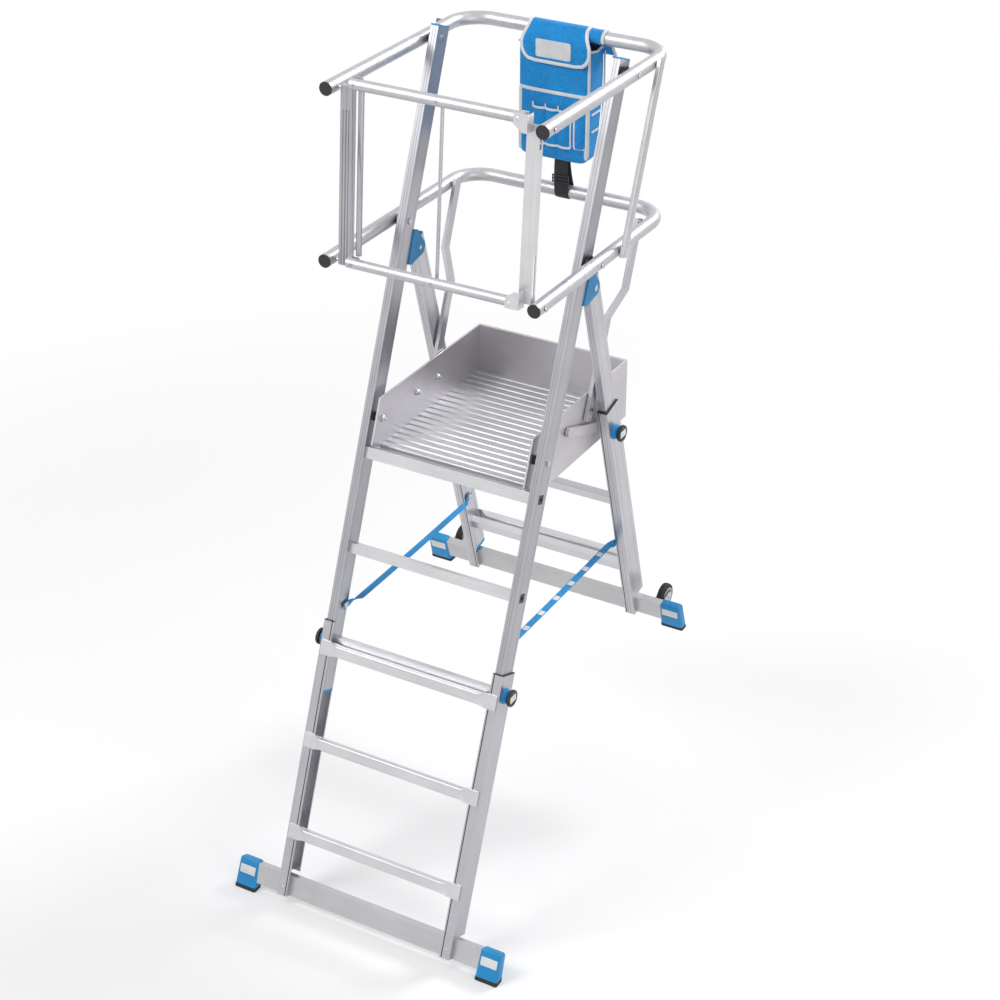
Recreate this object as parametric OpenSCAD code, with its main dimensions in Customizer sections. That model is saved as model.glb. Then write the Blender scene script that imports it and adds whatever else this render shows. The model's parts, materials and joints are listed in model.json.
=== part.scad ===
// Podium step for stairs and level ground: a folding two-leg ladder with a guarded platform.
// X runs across the step, Y from the front feet to the rear feet, Z up.
// The origin is on the ground plane of the front soles, under the middle of the whole step.

/* [Front and rear frames] */
// Clear half width between the stiles, and between the legs
inner_half = 265; // [255:1:300]
// Width of a stile or leg profile across the step
stile_w = 24; // [22:1:26]
// Depth of a stile or leg profile
stile_d = 59; // [56:1:66]
// Wall of the stile and leg profiles
stile_wall = 2.5; // [2:0.5:4]
// Lean of the front stiles back from upright, in degrees
front_lean = 21.5; // [20:0.5:23]
// Lean of the rear legs forward from upright, in degrees
rear_lean = 15.8; // [14.8:0.2:17]
// Lower end of the front stiles, up the stile line
stile_start = 504; // [503:1:520]
// Upper end of the front stiles, up the stile line
stile_end = 2405; // [2400:1:2500]
// Height of the first locking rung, up the stile line
lock_up = 652; // [648:1:656]
// Distance from one rung or lock position to the next
rung_pitch = 280; // [275:1:282]
// Height of an inner rung
rung_h = 28; // [24:1:32]
// Depth of an inner rung
rung_d = 30; // [26:1:30]
// Setback of the inner rungs behind the front faces
rung_in = 14; // [12:1:16]
// Height of the beam under the front of the platform
beam_h = 33; // [28:1:36]
// Depth of the beam under the front of the platform
beam_d = 36; // [32:1:40]
// Setback of the beam behind the front faces
beam_in = 9.5; // [9:0.5:11]
// Height of the leg hinge, up the stile line
hinge_up = 1798.6; // [1780:1:1820]
// Distance of the leg hinge behind the front face of the stiles
hinge_in = 110.5; // [108:0.5:118]
// Length of a rear leg below the hinge
leg_below = 1184; // [1180:1:1194]
// Length of a rear leg above the hinge
leg_above = 30; // [26:1:36]
// Height of a rear inner rung
rear_rung_h = 28; // [24:1:32]
// Depth of a rear inner rung
rear_rung_d = 24; // [20:1:28]

/* [Sliding lower sections] */
// Thickness of the web and rear flange of a sliding section
section_t = 4.5; // [3:0.5:5]
// Thickness of the front flange of a sliding section
flange_t = 5; // [4:0.5:6]
// Running gap between a sliding section and its stile
slide_gap = 0.5; // [0.3:0.1:0.8]
// How far the front flange reaches past the inner face of the stile
flange_in = 3.5; // [2:0.5:4]
// Gap between the rear flange edge and the inner face of the stile
rear_flange_back = 3; // [2:0.5:6]
// Upper end of the front sliding section, up the stile line
section_end = 712; // [700:1:720]
// Height of a rear sliding section above its lock pin
rear_section_above = 89; // [82:1:97]
// Height of an outer rung
outer_rung_h = 32; // [28:1:36]
// Depth of an outer rung
outer_rung_d = 26.5; // [24:0.5:26.5]
// How far an outer rung stands in front of the stile faces
outer_rung_front = 18; // [16:1:20]
// Height of the crimped end plates of an outer rung
crimp_h = 45; // [40:1:50]
// Thickness of the crimped end plates
crimp_t = 4.5; // [3:0.5:6]
// Width of the crimped end plates on the flange
crimp_w = 28; // [24:1:30]
// Height of the first outer rung, up the stile line
outer_rung_up = 74; // [70:1:80]
// Height of the rear outer rung above the lower end of the rear leg
rear_outer_rung_above = 97; // [92:1:102]

/* [Stabiliser bars, shoes and wheels] */
// Half length of a stabiliser bar
bar_half = 440; // [420:5:500]
// Height of a stabiliser bar
bar_h = 61; // [50:1:65]
// Depth of a stabiliser bar
bar_d = 24; // [22:1:26]
// Setback of a stabiliser bar behind the stile faces
bar_in = 10; // [8:1:12]
// Wall of a stabiliser bar
bar_wall = 2.5; // [2:0.5:4]
// Top of the front bar below the start of the stile line
bar_drop = 66; // [64:1:72]
// Distance of the rear stabiliser bar below the rear leg
rear_bar_below = 14; // [12:1:17]
// Width of a shoe at its top
shoe_w = 66; // [56:1:70]
// Flare of a shoe on each side, at its foot
shoe_flare = 4; // [2:1:6]
// Slope along the front and rear of a shoe's top
shoe_slope = 6; // [3:1:8]
// Wall of a shoe round its bar
shoe_wall = 4; // [3:0.5:6]
// Height of the shoe above the bar top
shoe_rise = 6; // [5:1:9]
// Thickness of a rubber sole
sole_t = 11.5; // [8:0.5:13]
// Height of the front bar corner above the ground
foot_drop = 150; // [146:1:158]
// Height of the rear bar corner above the rear soles
rear_foot_drop = 90.213; // [88:0.001:95]
// Diameter of a wheel
wheel_dia = 80; // [70:1:82]
// Width of a wheel
wheel_w = 25; // [20:1:28]
// Distance of a wheel from the end of the bar
wheel_inset = 81; // [80:1:95]
// Diameter of a wheel axle
axle_dia = 10; // [8:0.5:12]

/* [Lock knobs] */
// Diameter of a lock pin
pin_dia = 10; // [8:0.5:12]
// Diameter of a knob
knob_dia = 50; // [44:1:54]
// Depth of the knob disc
knob_disc = 10; // [8:1:12]
// Length of the knob housing
knob_neck = 14; // [12:1:18]
// Height of the rear lock pin above the lower end of the rear leg
lock_above_end = 662; // [650:1:670]
// How far a lock pin moves in to hold the stile
lock_reach = 3; // [2.8:0.1:3.5]

/* [Platform] */
// Height of the platform pivot, up the stile line
pivot_up = 1314.6; // [1312:0.2:1320]
// Gap between a side board and the inner face of a stile
board_gap = 18; // [16:1:21]
// Thickness of the side boards
board_t = 5; // [4:0.5:6]
// Length from the pivot to the rear face of the platform
platform_reach = 552; // [540:1:560]
// Height of the board top above the pivot
board_above = 66; // [60:1:80]
// Depth of the board foot below the pivot
board_below = 118; // [112:1:122]
// Depth of the deck surface below the pivot
deck_below = 80; // [76:1:82]
// Thickness of the deck
deck_t = 25; // [20:1:28]
// Distance from one deck groove to the next
groove_pitch = 21; // [18:0.5:25]
// Width of a deck groove
groove_w = 3; // [2:0.5:4]
// Depth of a deck groove
groove_d = 2; // [1:0.5:3]
// Thickness of the toe board
toe_t = 9; // [6:1:10]
// Distance from the platform pivot to the link pin
link_reach = 185; // [182:1:188]
// Distance from the platform pivot to the strut pin
strut_reach = 298; // [290:1:305]
// Distance of the link pin on the leg below the hinge
link_drop = 508; // [505:1:511]
// Offset of the link pin in front of the leg centre line
link_fore = 6; // [4:1:8]
// Width of a link bar
link_w = 28; // [24:1:30]
// Width of a bent strut
strut_w = 30; // [26:1:32]
// Diameter of the pivot bolts
bolt_dia = 12; // [10:1:12]

/* [Guard hoops and gate] */
// Outer diameter of the hoop tube
hoop_dia = 38; // [34:1:40]
// Wall of the hoop tube
hoop_wall = 2; // [1.5:0.5:3]
// Length of a hoop spacer, between a stile and a hoop arm
spacer_len = 10.7; // [9.7:0.5:20.7]
// Bend radius at the corners of a hoop
hoop_bend = 90; // [70:5:120]
// Height of the upper hoop pivot, up the stile line
upper_up = 2372; // [2360:1:2375]
// Height of the lower hoop pivot, up the stile line
lower_up = 1869.7; // [1865:1:1875]
// Reach of the upper hoop in front of its pivot
upper_fore = 488; // [480:1:500]
// Reach of the lower hoop in front of its pivot
lower_fore = 342; // [335:1:350]
// Reach of the upper hoop behind its pivot
upper_aft = 226; // [220:1:232]
// Reach of the lower hoop behind its pivot
lower_aft = 411; // [405:1:417]
// Distance of the gate pin in front of the upper pivot
gate_pin_fore = 456; // [452:1:460]
// Distance of the gate pin in front of the lower pivot
gate_pin_low = 314; // [312:1:316]
// Diameter of the gate pins
gate_pin_dia = 10; // [8:1:12]
// Distance of the rail strut pins behind the hoop pivots
rail_reach = 107; // [100:1:115]
// Width of a rail strut
rail_w = 30; // [26:1:34]
// Thickness of a rail strut
rail_t = 10; // [8:1:12]
// Diameter of the upper gate bar
gate_bar_dia = 30; // [28:1:32]
// Diameter of the lower gate bar
gate_low_dia = 28; // [26:1:30]
// Distance of the gate bar hinges from the gate post
post_hinge_in = 20; // [18:1:24]
// Distance of the gate bar hinges from the gate channel
channel_hinge_in = 10; // [8:1:14]

/* [Gate posts and tool bag] */
// Width of the gate post and of the gate channel
post_w = 36; // [32:1:40]
// Depth of the gate post and of the gate channel
post_d = 24; // [20:1:26]
// Gap between the hoop arms and the gate post
post_gap = 12; // [8:1:14]
// Diameter of the slim upright beside the gate post
slim_dia = 16; // [14:1:18]
// Diameter of the middle gate rod
gate_rod_dia = 10; // [8:1:12]
// Place of the middle gate rod across the step
gate_rod_x = 15; // [-40:5:60]
// Width of the tool bag
bag_w = 224; // [180:2:240]
// Place of the middle of the tool bag across the step
bag_x = -22; // [-60:1:0]
// Depth of the tool bag at its top
bag_d = 104; // [90:1:110]
// Depth of the tool bag at its foot
bag_foot_d = 58; // [50:1:70]
// Depth of the tool bag below the middle of its hoop
bag_below = 368; // [340:1:380]
// Width of the bag strap
bag_strap_w = 45; // [38:1:50]
// Place of the middle of the bag strap across the step
bag_strap_x = 0; // [-60:1:40]
// Width of the safety straps
strap_w = 15; // [12:1:20]
// Thickness of the safety straps
strap_t = 2; // [1.5:0.5:3]
// Height of the front strap bolt, up the stile line
strap_up = 759; // [750:1:770]
// Distance of the front strap bolt behind the stile face
strap_in = 42; // [38:1:46]
// Distance of the rear strap bolt below the hinge
strap_drop = 966; // [955:1:975]

/* [Hidden] */
$fn = 48;

seat_gap = 0.3;     // gap between seated pieces that do not touch
face_gap = 0.2;     // gap round a plug in its profile
turn_gap = 0.06;    // radial gap of a running fit
head_t = 4;         // thickness of a bolt head
over = 1;           // how far a cut runs past its face

stile_out = inner_half + stile_w;
board_half = inner_half - board_gap;
hoop_half = stile_out + spacer_len + seat_gap + hoop_dia / 2;
section_out = stile_out + slide_gap + section_t;
flange_x = inner_half - flange_in;
cl = stile_d / 2;   // pivots lie on the middle line of the stile
lock_ups = [for (i = [0:2]) lock_up + i * rung_pitch];

// A point of the front frame as [y, z]: up the stile line and in from its face
function front_pt(u, d) = [u * sin(front_lean) + d * cos(front_lean),
                           u * cos(front_lean) - d * sin(front_lean)];
hinge = front_pt(hinge_up, hinge_in);
// A point of the rear frame as [y, z]: up from the hinge and back from the leg line
function rear_pt(w, d) = [hinge.x - w * sin(rear_lean) + d * cos(rear_lean),
                          hinge.y + w * cos(rear_lean) + d * sin(rear_lean)];
pivot = front_pt(pivot_up, cl);
lower_pivot = front_pt(lower_up, cl);
upper_pivot = front_pt(upper_up, cl);
link_pin = [pivot.x + link_reach, pivot.y];
leg_pin = rear_pt(-link_drop, -link_fore);
strut_foot = [pivot.x + strut_reach, pivot.y];
strut_head = [lower_pivot.x + strut_reach, lower_pivot.y];
gate_top = [upper_pivot.x - gate_pin_fore, upper_pivot.y];
gate_low = [lower_pivot.x - gate_pin_low, lower_pivot.y];
gate_lean = atan2(gate_top.x - gate_low.x, gate_top.y - gate_low.y);
gate_len = norm(gate_top - gate_low);
bar_low = -bar_drop - bar_h;
rear_lock_drop = leg_below - lock_above_end;
rear_section_drop = rear_lock_drop - rear_section_above;
rear_bar_drop = leg_below + rear_bar_below;
rear_bar_low = -rear_bar_drop - bar_h;
rear_face = cl;     // rear face of a leg, from its middle line

// The foremost edge of the front soles and the rear of the tool bag give the middle of the step
bag_fore = upper_aft - hoop_dia / 2 - 19;
front_most = -foot_drop * tan(front_lean) + (bar_in - shoe_wall) / cos(front_lean);
origin_back = (front_most + upper_pivot.x + bag_fore + bag_d) / 2;
rear_sole_z = rear_pt(-rear_bar_drop, 0).y - rear_foot_drop;

module placed() { translate([0, -origin_back, foot_drop]) children(); }
module in_front() { placed() rotate([-front_lean, 0, 0]) children(); }
module in_rear() {
    placed() translate([0, hinge.x, hinge.y]) rotate([rear_lean, 0, 0]) children();
}
module in_gate() {
    placed() translate([0, gate_top.x, gate_top.y]) rotate([-gate_lean, 0, 0]) children();
}
module at(p) { translate([0, p.x, p.y]) children(); }
module both() { children(); mirror([1, 0, 0]) children(); }
// A box from its lowest corner to its highest corner
module span(a, b) { translate(a) cube(b - a); }
// A round bar along X
module bar_x(x0, x1, r) { translate([x0, 0, 0]) rotate([0, 90, 0]) cylinder(h = x1 - x0, r = r); }
// A box tube along X
module tube_x(half, y0, z0, d, h, t) {
    difference() {
        span([-half, y0, z0], [half, y0 + d, z0 + h]);
        span([-half - over, y0 + t, z0 + t], [half + over, y0 + d - t, z0 + h - t]);
    }
}

// Front frame

// Hollow profile up Z, its faces at x inner_half and y 0
module profile(z0, z1) {
    difference() {
        span([inner_half, 0, z0], [stile_out, stile_d, z1]);
        span([inner_half + stile_wall, stile_wall, z0 - over],
             [stile_out - stile_wall, stile_d - stile_wall, z1 + over]);
    }
}
// What fills the end of a profile
module profile_plug(z0, z1) {
    span([inner_half + stile_wall + face_gap, stile_wall + face_gap, z0],
         [stile_out - stile_wall - face_gap, stile_d - stile_wall - face_gap, z1]);
}
module socket_cut(z, grow) {
    span([stile_out - stile_wall - over, rung_in + 1 - grow, z - rung_h / 2 + 1 - grow],
         [stile_out + over, rung_in + rung_d - 1 + grow, z + rung_h / 2 - 1 + grow]);
}
module front_stile() {
    color("silver") in_front() difference() {
        profile(stile_start, stile_end);
        for (z = lock_ups) {
            socket_cut(z, face_gap);
            translate([0, rung_in + rung_d / 2, z]) bar_x(inner_half + stile_wall, stile_out + over,
                                                          pin_dia / 2 + turn_gap);
        }
        for (z = [pivot_up, lower_up, upper_up]) translate([0, cl, z])
            bar_x(inner_half - over, stile_out + over, bolt_dia / 2 + turn_gap);
    }
}
module front_stile_left() { mirror([1, 0, 0]) front_stile(); }
module front_stile_right() { front_stile(); }

module stile_top_caps() {
    color("dodgerblue") in_front() both() {
        span([inner_half, 0, stile_end], [stile_out, stile_d, stile_end + 5]);
        profile_plug(stile_end - 12, stile_end);
    }
}
plug_foot = 8;
plug_len = 25;
module stile_foot_plugs() {
    color("dodgerblue") in_front() both() {
        span([inner_half, 0, stile_start - plug_foot], [stile_out, stile_d, stile_start]);
        profile_plug(stile_start, stile_start + plug_len);
    }
}
// The first rung is rounded and ribbed like a tread, the second is a plain box tube
module front_rungs() {
    color("silver") in_front() {
        for (z = [lock_ups[0], lock_ups[1]])
            tube_x(inner_half, rung_in, z - rung_h / 2, rung_d, rung_h, 2.5);
    }
}
module platform_beam() {
    color("gainsboro") in_front()
        tube_x(inner_half, beam_in, lock_ups[2] - beam_h / 2, beam_d, beam_h, 2.5);
}
module lock_socket_plugs() {
    color("black") in_front() both() for (z = lock_ups) difference() {
        span([stile_out - stile_wall, rung_in + 1, z - rung_h / 2 + 1],
             [stile_out, rung_in + rung_d - 1, z + rung_h / 2 - 1]);
        translate([0, rung_in + rung_d / 2, z]) bar_x(inner_half, stile_out + over,
                                                      pin_dia / 2 + turn_gap);
    }
}
// Two cheeks beside each leg top, joined by a web on the rear of the stile
bracket_r = 24;
bracket_half = 50;
cheek_t = 3.4;
web_t = 5;
module bracket_outline() {
    polygon([[stile_d, -bracket_half], [stile_d + web_t + 12, -bracket_half],
             [hinge_in + bracket_r * 0.75, -bracket_r * 0.66], [hinge_in + bracket_r * 0.75, bracket_r * 0.66],
             [stile_d + web_t + 12, bracket_half], [stile_d, bracket_half]]);
    translate([hinge_in, 0]) circle(r = bracket_r);
}
module cheek(x0) {
    translate([x0, 0, hinge_up]) rotate([90, 0, 90]) linear_extrude(cheek_t) bracket_outline();
}
module hinge_brackets() {
    color("dodgerblue") in_front() both() difference() {
        union() {
            cheek(inner_half - seat_gap - cheek_t);
            cheek(stile_out + seat_gap);
            span([inner_half - seat_gap - cheek_t, stile_d, hinge_up - bracket_half],
                 [stile_out + seat_gap + cheek_t, stile_d + web_t, hinge_up + bracket_half]);
        }
        translate([0, hinge_in, hinge_up])
            bar_x(inner_half - 10, stile_out + 10, bolt_dia / 2 + turn_gap);
    }
}
module hinge_pins() {
    color("lightgray") in_front() both() translate([0, hinge_in, hinge_up]) {
        bar_x(inner_half - seat_gap - cheek_t, stile_out + seat_gap + cheek_t, bolt_dia / 2);
        bar_x(stile_out + seat_gap + cheek_t, stile_out + seat_gap + cheek_t + 2, bolt_dia / 2 + 3);
    }
}
hoop_face = hoop_half - hoop_dia / 2;
hoop_outer = hoop_half + hoop_dia / 2;
module hoop_spacers() {
    color("black") in_front() both() for (z = [lower_up, upper_up]) translate([0, cl, z])
        difference() {
            bar_x(stile_out, hoop_face - seat_gap, 19);
            bar_x(stile_out - over, hoop_face + over, bolt_dia / 2 + turn_gap);
        }
}
low_head_t = 2.5;
module hoop_pivot_bolts() {
    color("lightgray") in_front() both() for (z = [lower_up, upper_up]) translate([0, cl, z]) {
        bar_x(inner_half, hoop_outer + 1, bolt_dia / 2);
        bar_x(inner_half - head_t, inner_half, bolt_dia / 2 + 3);
        bar_x(hoop_outer + seat_gap, hoop_outer + low_head_t, bolt_dia / 2 + 3);
    }
}
// Shoulder bolts: the shoulder keeps the board clear of the stile
module platform_pivot_bolts() {
    color("lightgray") in_front() both() translate([0, cl, pivot_up]) {
        bar_x(board_half - board_t - 3, stile_out, bolt_dia / 2);
        bar_x(board_half + seat_gap, inner_half, bolt_dia / 2 + 5);
        bar_x(board_half - board_t - seat_gap - head_t, board_half - board_t - seat_gap, bolt_dia / 2 + 3);
        bar_x(stile_out, stile_out + head_t, bolt_dia / 2 + 3);
    }
}
// Webbing from the front stile to the rear leg, with a bolted end plate at each end
strap_x = inner_half - 5;
module safety_straps() {
    a = front_pt(strap_up, strap_in);
    b = rear_pt(-strap_drop, -9);
    run = norm(b - a);
    tilt = atan2(b.y - a.y, b.x - a.x);
    color("dodgerblue") placed() both() at(a) rotate([tilt, 0, 0]) {
        span([strap_x - strap_t, -12, -strap_w / 2], [strap_x, run + 12, strap_w / 2]);
        for (y = [0, run]) translate([0, y, 0]) {
            bar_x(strap_x, inner_half - (y > 0 ? turn_gap : 0), 6);
            bar_x(strap_x - strap_t - 3, strap_x - strap_t, 7);
        }
    }
}

// Sliding lower sections, the same on both frames

// Cross-section of a sliding section on the right: a channel round the outside of the stile
module section_shape() {
    y_front = -slide_gap - flange_t;
    y_rear = stile_d + slide_gap;
    translate([flange_x, y_front]) square([section_out - flange_x, flange_t]);
    translate([stile_out + slide_gap, y_front]) square([section_t, y_rear + section_t - y_front]);
    translate([inner_half + rear_flange_back, y_rear])
        square([section_out - inner_half - rear_flange_back, section_t]);
}
// z_bar is the top of the bar, z_top the upper end, [pin_y, pin_z] the lock pin
module section(z_bar, z_top, pin_y, pin_z) {
    y_front = -slide_gap - flange_t;
    difference() {
        union() {
            translate([0, 0, z_bar]) linear_extrude(z_top - z_bar) section_shape();
            span([flange_x, y_front, z_bar - bar_h], [section_out, -slide_gap, z_bar]);
            span([flange_x, -slide_gap, z_bar - bar_h], [section_out, bar_in, z_bar]);
        }
        span([flange_x + 4, y_front - over, z_bar - bar_h - over],
             [flange_x + 7, y_front + flange_t / 2, z_top + over]);
        translate([0, pin_y, pin_z])
            bar_x(stile_out, section_out + over, pin_dia / 2 + turn_gap);
    }
}
// Cap on the upper end of a sliding section
module section_guide(z_top) {
    translate([0, 0, z_top]) linear_extrude(3) section_shape();
}
// Rung across the front of the flanges, its ends pressed flat
module outer_rung(z) {
    y_plate = -slide_gap - flange_t;
    x_end = flange_x + crimp_w;
    x_tube = flange_x - 24;
    tube_x(x_tube, -outer_rung_front, z - outer_rung_h / 2, outer_rung_d, outer_rung_h, 2.5);
    both() {
        translate([0, 0, z - outer_rung_h / 2]) linear_extrude(outer_rung_h) polygon([
            [x_tube, -outer_rung_front], [flange_x, y_plate - crimp_t], [x_end, y_plate - crimp_t],
            [x_end, y_plate], [flange_x - 3, y_plate], [flange_x - 3, 2],
            [x_tube, outer_rung_d - outer_rung_front]]);
        span([flange_x, y_plate - crimp_t, z - crimp_h / 2], [x_end, y_plate, z + crimp_h / 2]);
    }
}
module stabiliser_bar(z_low) { tube_x(bar_half, bar_in, z_low, bar_d, bar_h, bar_wall); }

shoe_out = bar_half + shoe_wall;
// The shoe before its foot is cut level: its front outline crossed with its side outline
module shoe_block(z_low) {
    z_top = z_low + bar_h + shoe_rise;
    z_foot = z_low - bar_h;
    y_fore = bar_in - shoe_wall;
    y_aft = bar_in + bar_d + shoe_wall;
    x_in = shoe_out - shoe_w;
    intersection() {
        translate([0, y_aft, 0]) rotate([90, 0, 0]) linear_extrude(y_aft - y_fore) polygon([
            [x_in - shoe_flare, z_foot], [x_in, z_top],
            [shoe_out, z_top], [shoe_out + shoe_flare, z_foot]]);
        rotate([90, 0, 90]) linear_extrude(shoe_out + shoe_flare) polygon([
            [y_fore, z_foot], [y_fore, z_top - shoe_slope], [y_fore + shoe_slope, z_top],
            [y_aft - shoe_slope, z_top], [y_aft, z_top - shoe_slope], [y_aft, z_foot]]);
    }
}
module bar_room(z_low) {
    span([-bar_half - face_gap, bar_in - face_gap, z_low - face_gap],
         [bar_half + face_gap, bar_in + bar_d + face_gap, z_low + bar_h + face_gap]);
}
// All that lies under a level plane
module under(z) { placed() span([-700, -500, z - 300], [700, 1500, z]); }

// Waisted housing of a lock knob, from the web outwards
module knob_housing(y, z) {
    translate([section_out, y, z]) rotate([0, 90, 0]) difference() {
        rotate_extrude() polygon([[0, 0], [knob_dia * 0.46, 0], [knob_dia * 0.44, 4],
            [knob_dia * 0.36, knob_neck * 0.55], [knob_dia * 0.42, knob_neck], [0, knob_neck]]);
        translate([0, 0, -over]) cylinder(h = knob_neck + 2 * over, r = pin_dia / 2 + turn_gap);
    }
}
// The pin, drawn back until its tip is just clear of the stile
module lock_knob(y, z) {
    translate([0, y, z]) {
        bar_x(stile_out + face_gap, section_out + knob_neck + lock_reach + 2, pin_dia / 2);
        bar_x(section_out + knob_neck + lock_reach + seat_gap,
              section_out + knob_neck + lock_reach + seat_gap + knob_disc, knob_dia / 2);
    }
}
front_lock_y = rung_in + rung_d / 2;
rear_lock_y = rung_in + rear_rung_d / 2;

// Front sliding section
module lower_stile() {
    color("silver") in_front() section(-bar_drop, section_end, front_lock_y, lock_up);
}
module lower_stile_left() { mirror([1, 0, 0]) lower_stile(); }
module lower_stile_right() { lower_stile(); }
module lower_rungs() {
    color("silver") in_front() for (i = [0:2]) outer_rung(outer_rung_up + i * rung_pitch);
}
module front_stabiliser_bar() { color("silver") in_front() stabiliser_bar(bar_low); }
module front_shoes() {
    color("dodgerblue") difference() {
        in_front() both() shoe_block(bar_low);
        in_front() bar_room(bar_low);
        under(sole_t - foot_drop);
    }
}
module front_soles() {
    color("black") difference() {
        intersection() {
            in_front() both() shoe_block(bar_low);
            placed() span([-700, -500, -foot_drop], [700, 500, sole_t - foot_drop]);
        }
        in_front() bar_room(bar_low);
    }
}
module front_edge_guides() { color("black") in_front() both() section_guide(section_end); }
module front_knob_left() { mirror([1, 0, 0]) front_knob_right(); }
module front_knob_right() { color("black") in_front() lock_knob(front_lock_y, lock_up); }
module front_knob_housings() {
    color("dodgerblue") in_front() both() knob_housing(front_lock_y, lock_up);
}

// Rear frame: the same coordinates as the front, with the leg face at y 0 and the hinge at z 0
module on_leg() { in_rear() translate([0, -cl, 0]) children(); }
rear_lock_zs = [for (i = [0:2]) -rear_lock_drop - i * rung_pitch];
module rear_leg() {
    color("silver") on_leg() difference() {
        profile(-leg_below, leg_above);
        for (z = rear_lock_zs) {
            socket_cut(z, face_gap);
            translate([0, rear_lock_y, z])
                bar_x(inner_half + stile_wall, stile_out + over, pin_dia / 2 + turn_gap);
        }
        translate([0, cl, 0]) bar_x(inner_half - over, stile_out + over, bolt_dia / 2 + turn_gap);
    }
}
module rear_leg_left() { mirror([1, 0, 0]) rear_leg(); }
module rear_leg_right() { rear_leg(); }
module rear_rungs() {
    color("silver") on_leg() for (i = [1:2])
        tube_x(inner_half, rung_in, rear_lock_zs[i] - rear_rung_h / 2, rear_rung_d, rear_rung_h, 2.5);
}
module rear_leg_plugs() {
    color("dodgerblue") on_leg() both() {
        span([inner_half, 0, leg_above], [stile_out, stile_d, leg_above + 4]);
        profile_plug(leg_above - 8, leg_above);
        span([inner_half, 0, -leg_below - 11], [stile_out, stile_d, -leg_below]);
        profile_plug(-leg_below, -leg_below + 25);
    }
}
module rear_socket_plugs() {
    color("black") on_leg() both() for (z = rear_lock_zs) difference() {
        span([stile_out - stile_wall, rung_in + 1, z - rung_h / 2 + 1],
             [stile_out, rung_in + rung_d - 1, z + rung_h / 2 - 1]);
        translate([0, rear_lock_y, z]) bar_x(inner_half, stile_out + over, pin_dia / 2 + turn_gap);
    }
}

// Rear sliding section
module rear_lower_leg() {
    color("silver") on_leg()
        section(-rear_bar_drop, -rear_section_drop, rear_lock_y, -rear_lock_drop);
}
module rear_lower_leg_left() { mirror([1, 0, 0]) rear_lower_leg(); }
module rear_lower_leg_right() { rear_lower_leg(); }
module rear_lower_rung() {
    color("silver") on_leg() translate([0, stile_d + section_t - flange_t, 0]) mirror([0, 1, 0])
        outer_rung(-leg_below + rear_outer_rung_above);
}
module rear_stabiliser_bar() { color("silver") on_leg() stabiliser_bar(rear_bar_low); }
module rear_shoes() {
    color("dodgerblue") difference() {
        on_leg() both() shoe_block(rear_bar_low);
        on_leg() bar_room(rear_bar_low);
        under(rear_sole_z + sole_t);
    }
}
module rear_soles() {
    color("black") difference() {
        intersection() {
            on_leg() both() shoe_block(rear_bar_low);
            placed() span([-700, 500, rear_sole_z], [700, 1500, rear_sole_z + sole_t]);
        }
        on_leg() bar_room(rear_bar_low);
    }
}
module rear_edge_guides() { color("black") on_leg() both() section_guide(-rear_section_drop); }
module rear_knob_left() { mirror([1, 0, 0]) rear_knob_right(); }
module rear_knob_right() { color("black") on_leg() lock_knob(rear_lock_y, -rear_lock_drop); }
module rear_knob_housings() {
    color("dodgerblue") on_leg() both() knob_housing(rear_lock_y, -rear_lock_drop);
}
wheel_half = bar_half - wheel_inset;
wheel_y = bar_in + bar_d + wheel_dia / 2 + 2.5;
wheel_z = rear_bar_low + bar_h / 2;
wheel_side = wheel_w / 2 + seat_gap;
wheel_plate_t = 3;
wheel_plate_r = 16;
axle_past = 5;
module wheel_brackets() {
    color("silver") on_leg() both() difference() {
        union() for (s = [-1, 1]) {
            x0 = wheel_half + s * wheel_side - (s < 0 ? wheel_plate_t : 0);
            x1 = x0 + wheel_plate_t;
            span([x0, bar_in + bar_d, wheel_z - wheel_plate_r], [x1, wheel_y, wheel_z + wheel_plate_r]);
            translate([0, wheel_y, wheel_z]) bar_x(x0, x1, wheel_plate_r);
            translate([0, wheel_y, wheel_z])
                bar_x(wheel_half - wheel_side - axle_past, wheel_half + wheel_side + axle_past, axle_dia / 2);
        }
    }
}
module wheel_right() {
    w = wheel_w / 2;
    r = wheel_dia / 2;
    color("dimgray") on_leg() translate([wheel_half, wheel_y, wheel_z]) rotate([0, 90, 0])
        rotate_extrude() polygon([[axle_dia / 2 + turn_gap, -w], [r - 12, -w], [r - 10, -w + 2],
            [r - 3, -w + 2], [r, -w + 6], [r, w - 6], [r - 3, w - 2], [r - 10, w - 2],
            [r - 12, w], [axle_dia / 2 + turn_gap, w]]);
}
module wheel_left() { mirror([1, 0, 0]) wheel_right(); }

// Platform, its pieces placed from the platform pivot
module at_pivot() { placed() at(pivot) children(); }
module at_upper() { placed() at(upper_pivot) children(); }
module at_lower() { placed() at(lower_pivot) children(); }
beam_corner = front_pt(lock_ups[2] + beam_h / 2, beam_in + beam_d);
board_fore = beam_corner.x - pivot.x + 6;
board_nose = pivot_up - lock_ups[2] - beam_h / 2 - 2;
board_face = front_pt(pivot_up, 0).x - pivot.x;
module board_outline() {
    lean = tan(front_lean);
    y_top = board_face + (board_above - (front_pt(pivot_up, 0).y - pivot.y)) * lean;
    polygon([[board_fore, -board_below], [platform_reach, -board_below],
             [platform_reach, board_above], [y_top, board_above], [board_fore, 0]]);
    intersection() {
        circle(r = board_nose);
        polygon([[y_top, board_above], [y_top - (board_above + board_nose) * lean, -board_nose],
                 [40, -board_nose], [40, board_above]]);
    }
}
module side_board() {
    color("rosybrown") at_pivot() difference() {
        translate([board_half - board_t, 0, 0]) rotate([90, 0, 90])
            linear_extrude(board_t) board_outline();
        for (y = [0, link_reach, strut_reach]) translate([0, y, 0])
            bar_x(board_half - board_t - over, board_half + over, bolt_dia / 2 + turn_gap);
    }
}
module side_board_left() { mirror([1, 0, 0]) side_board(); }
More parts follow.
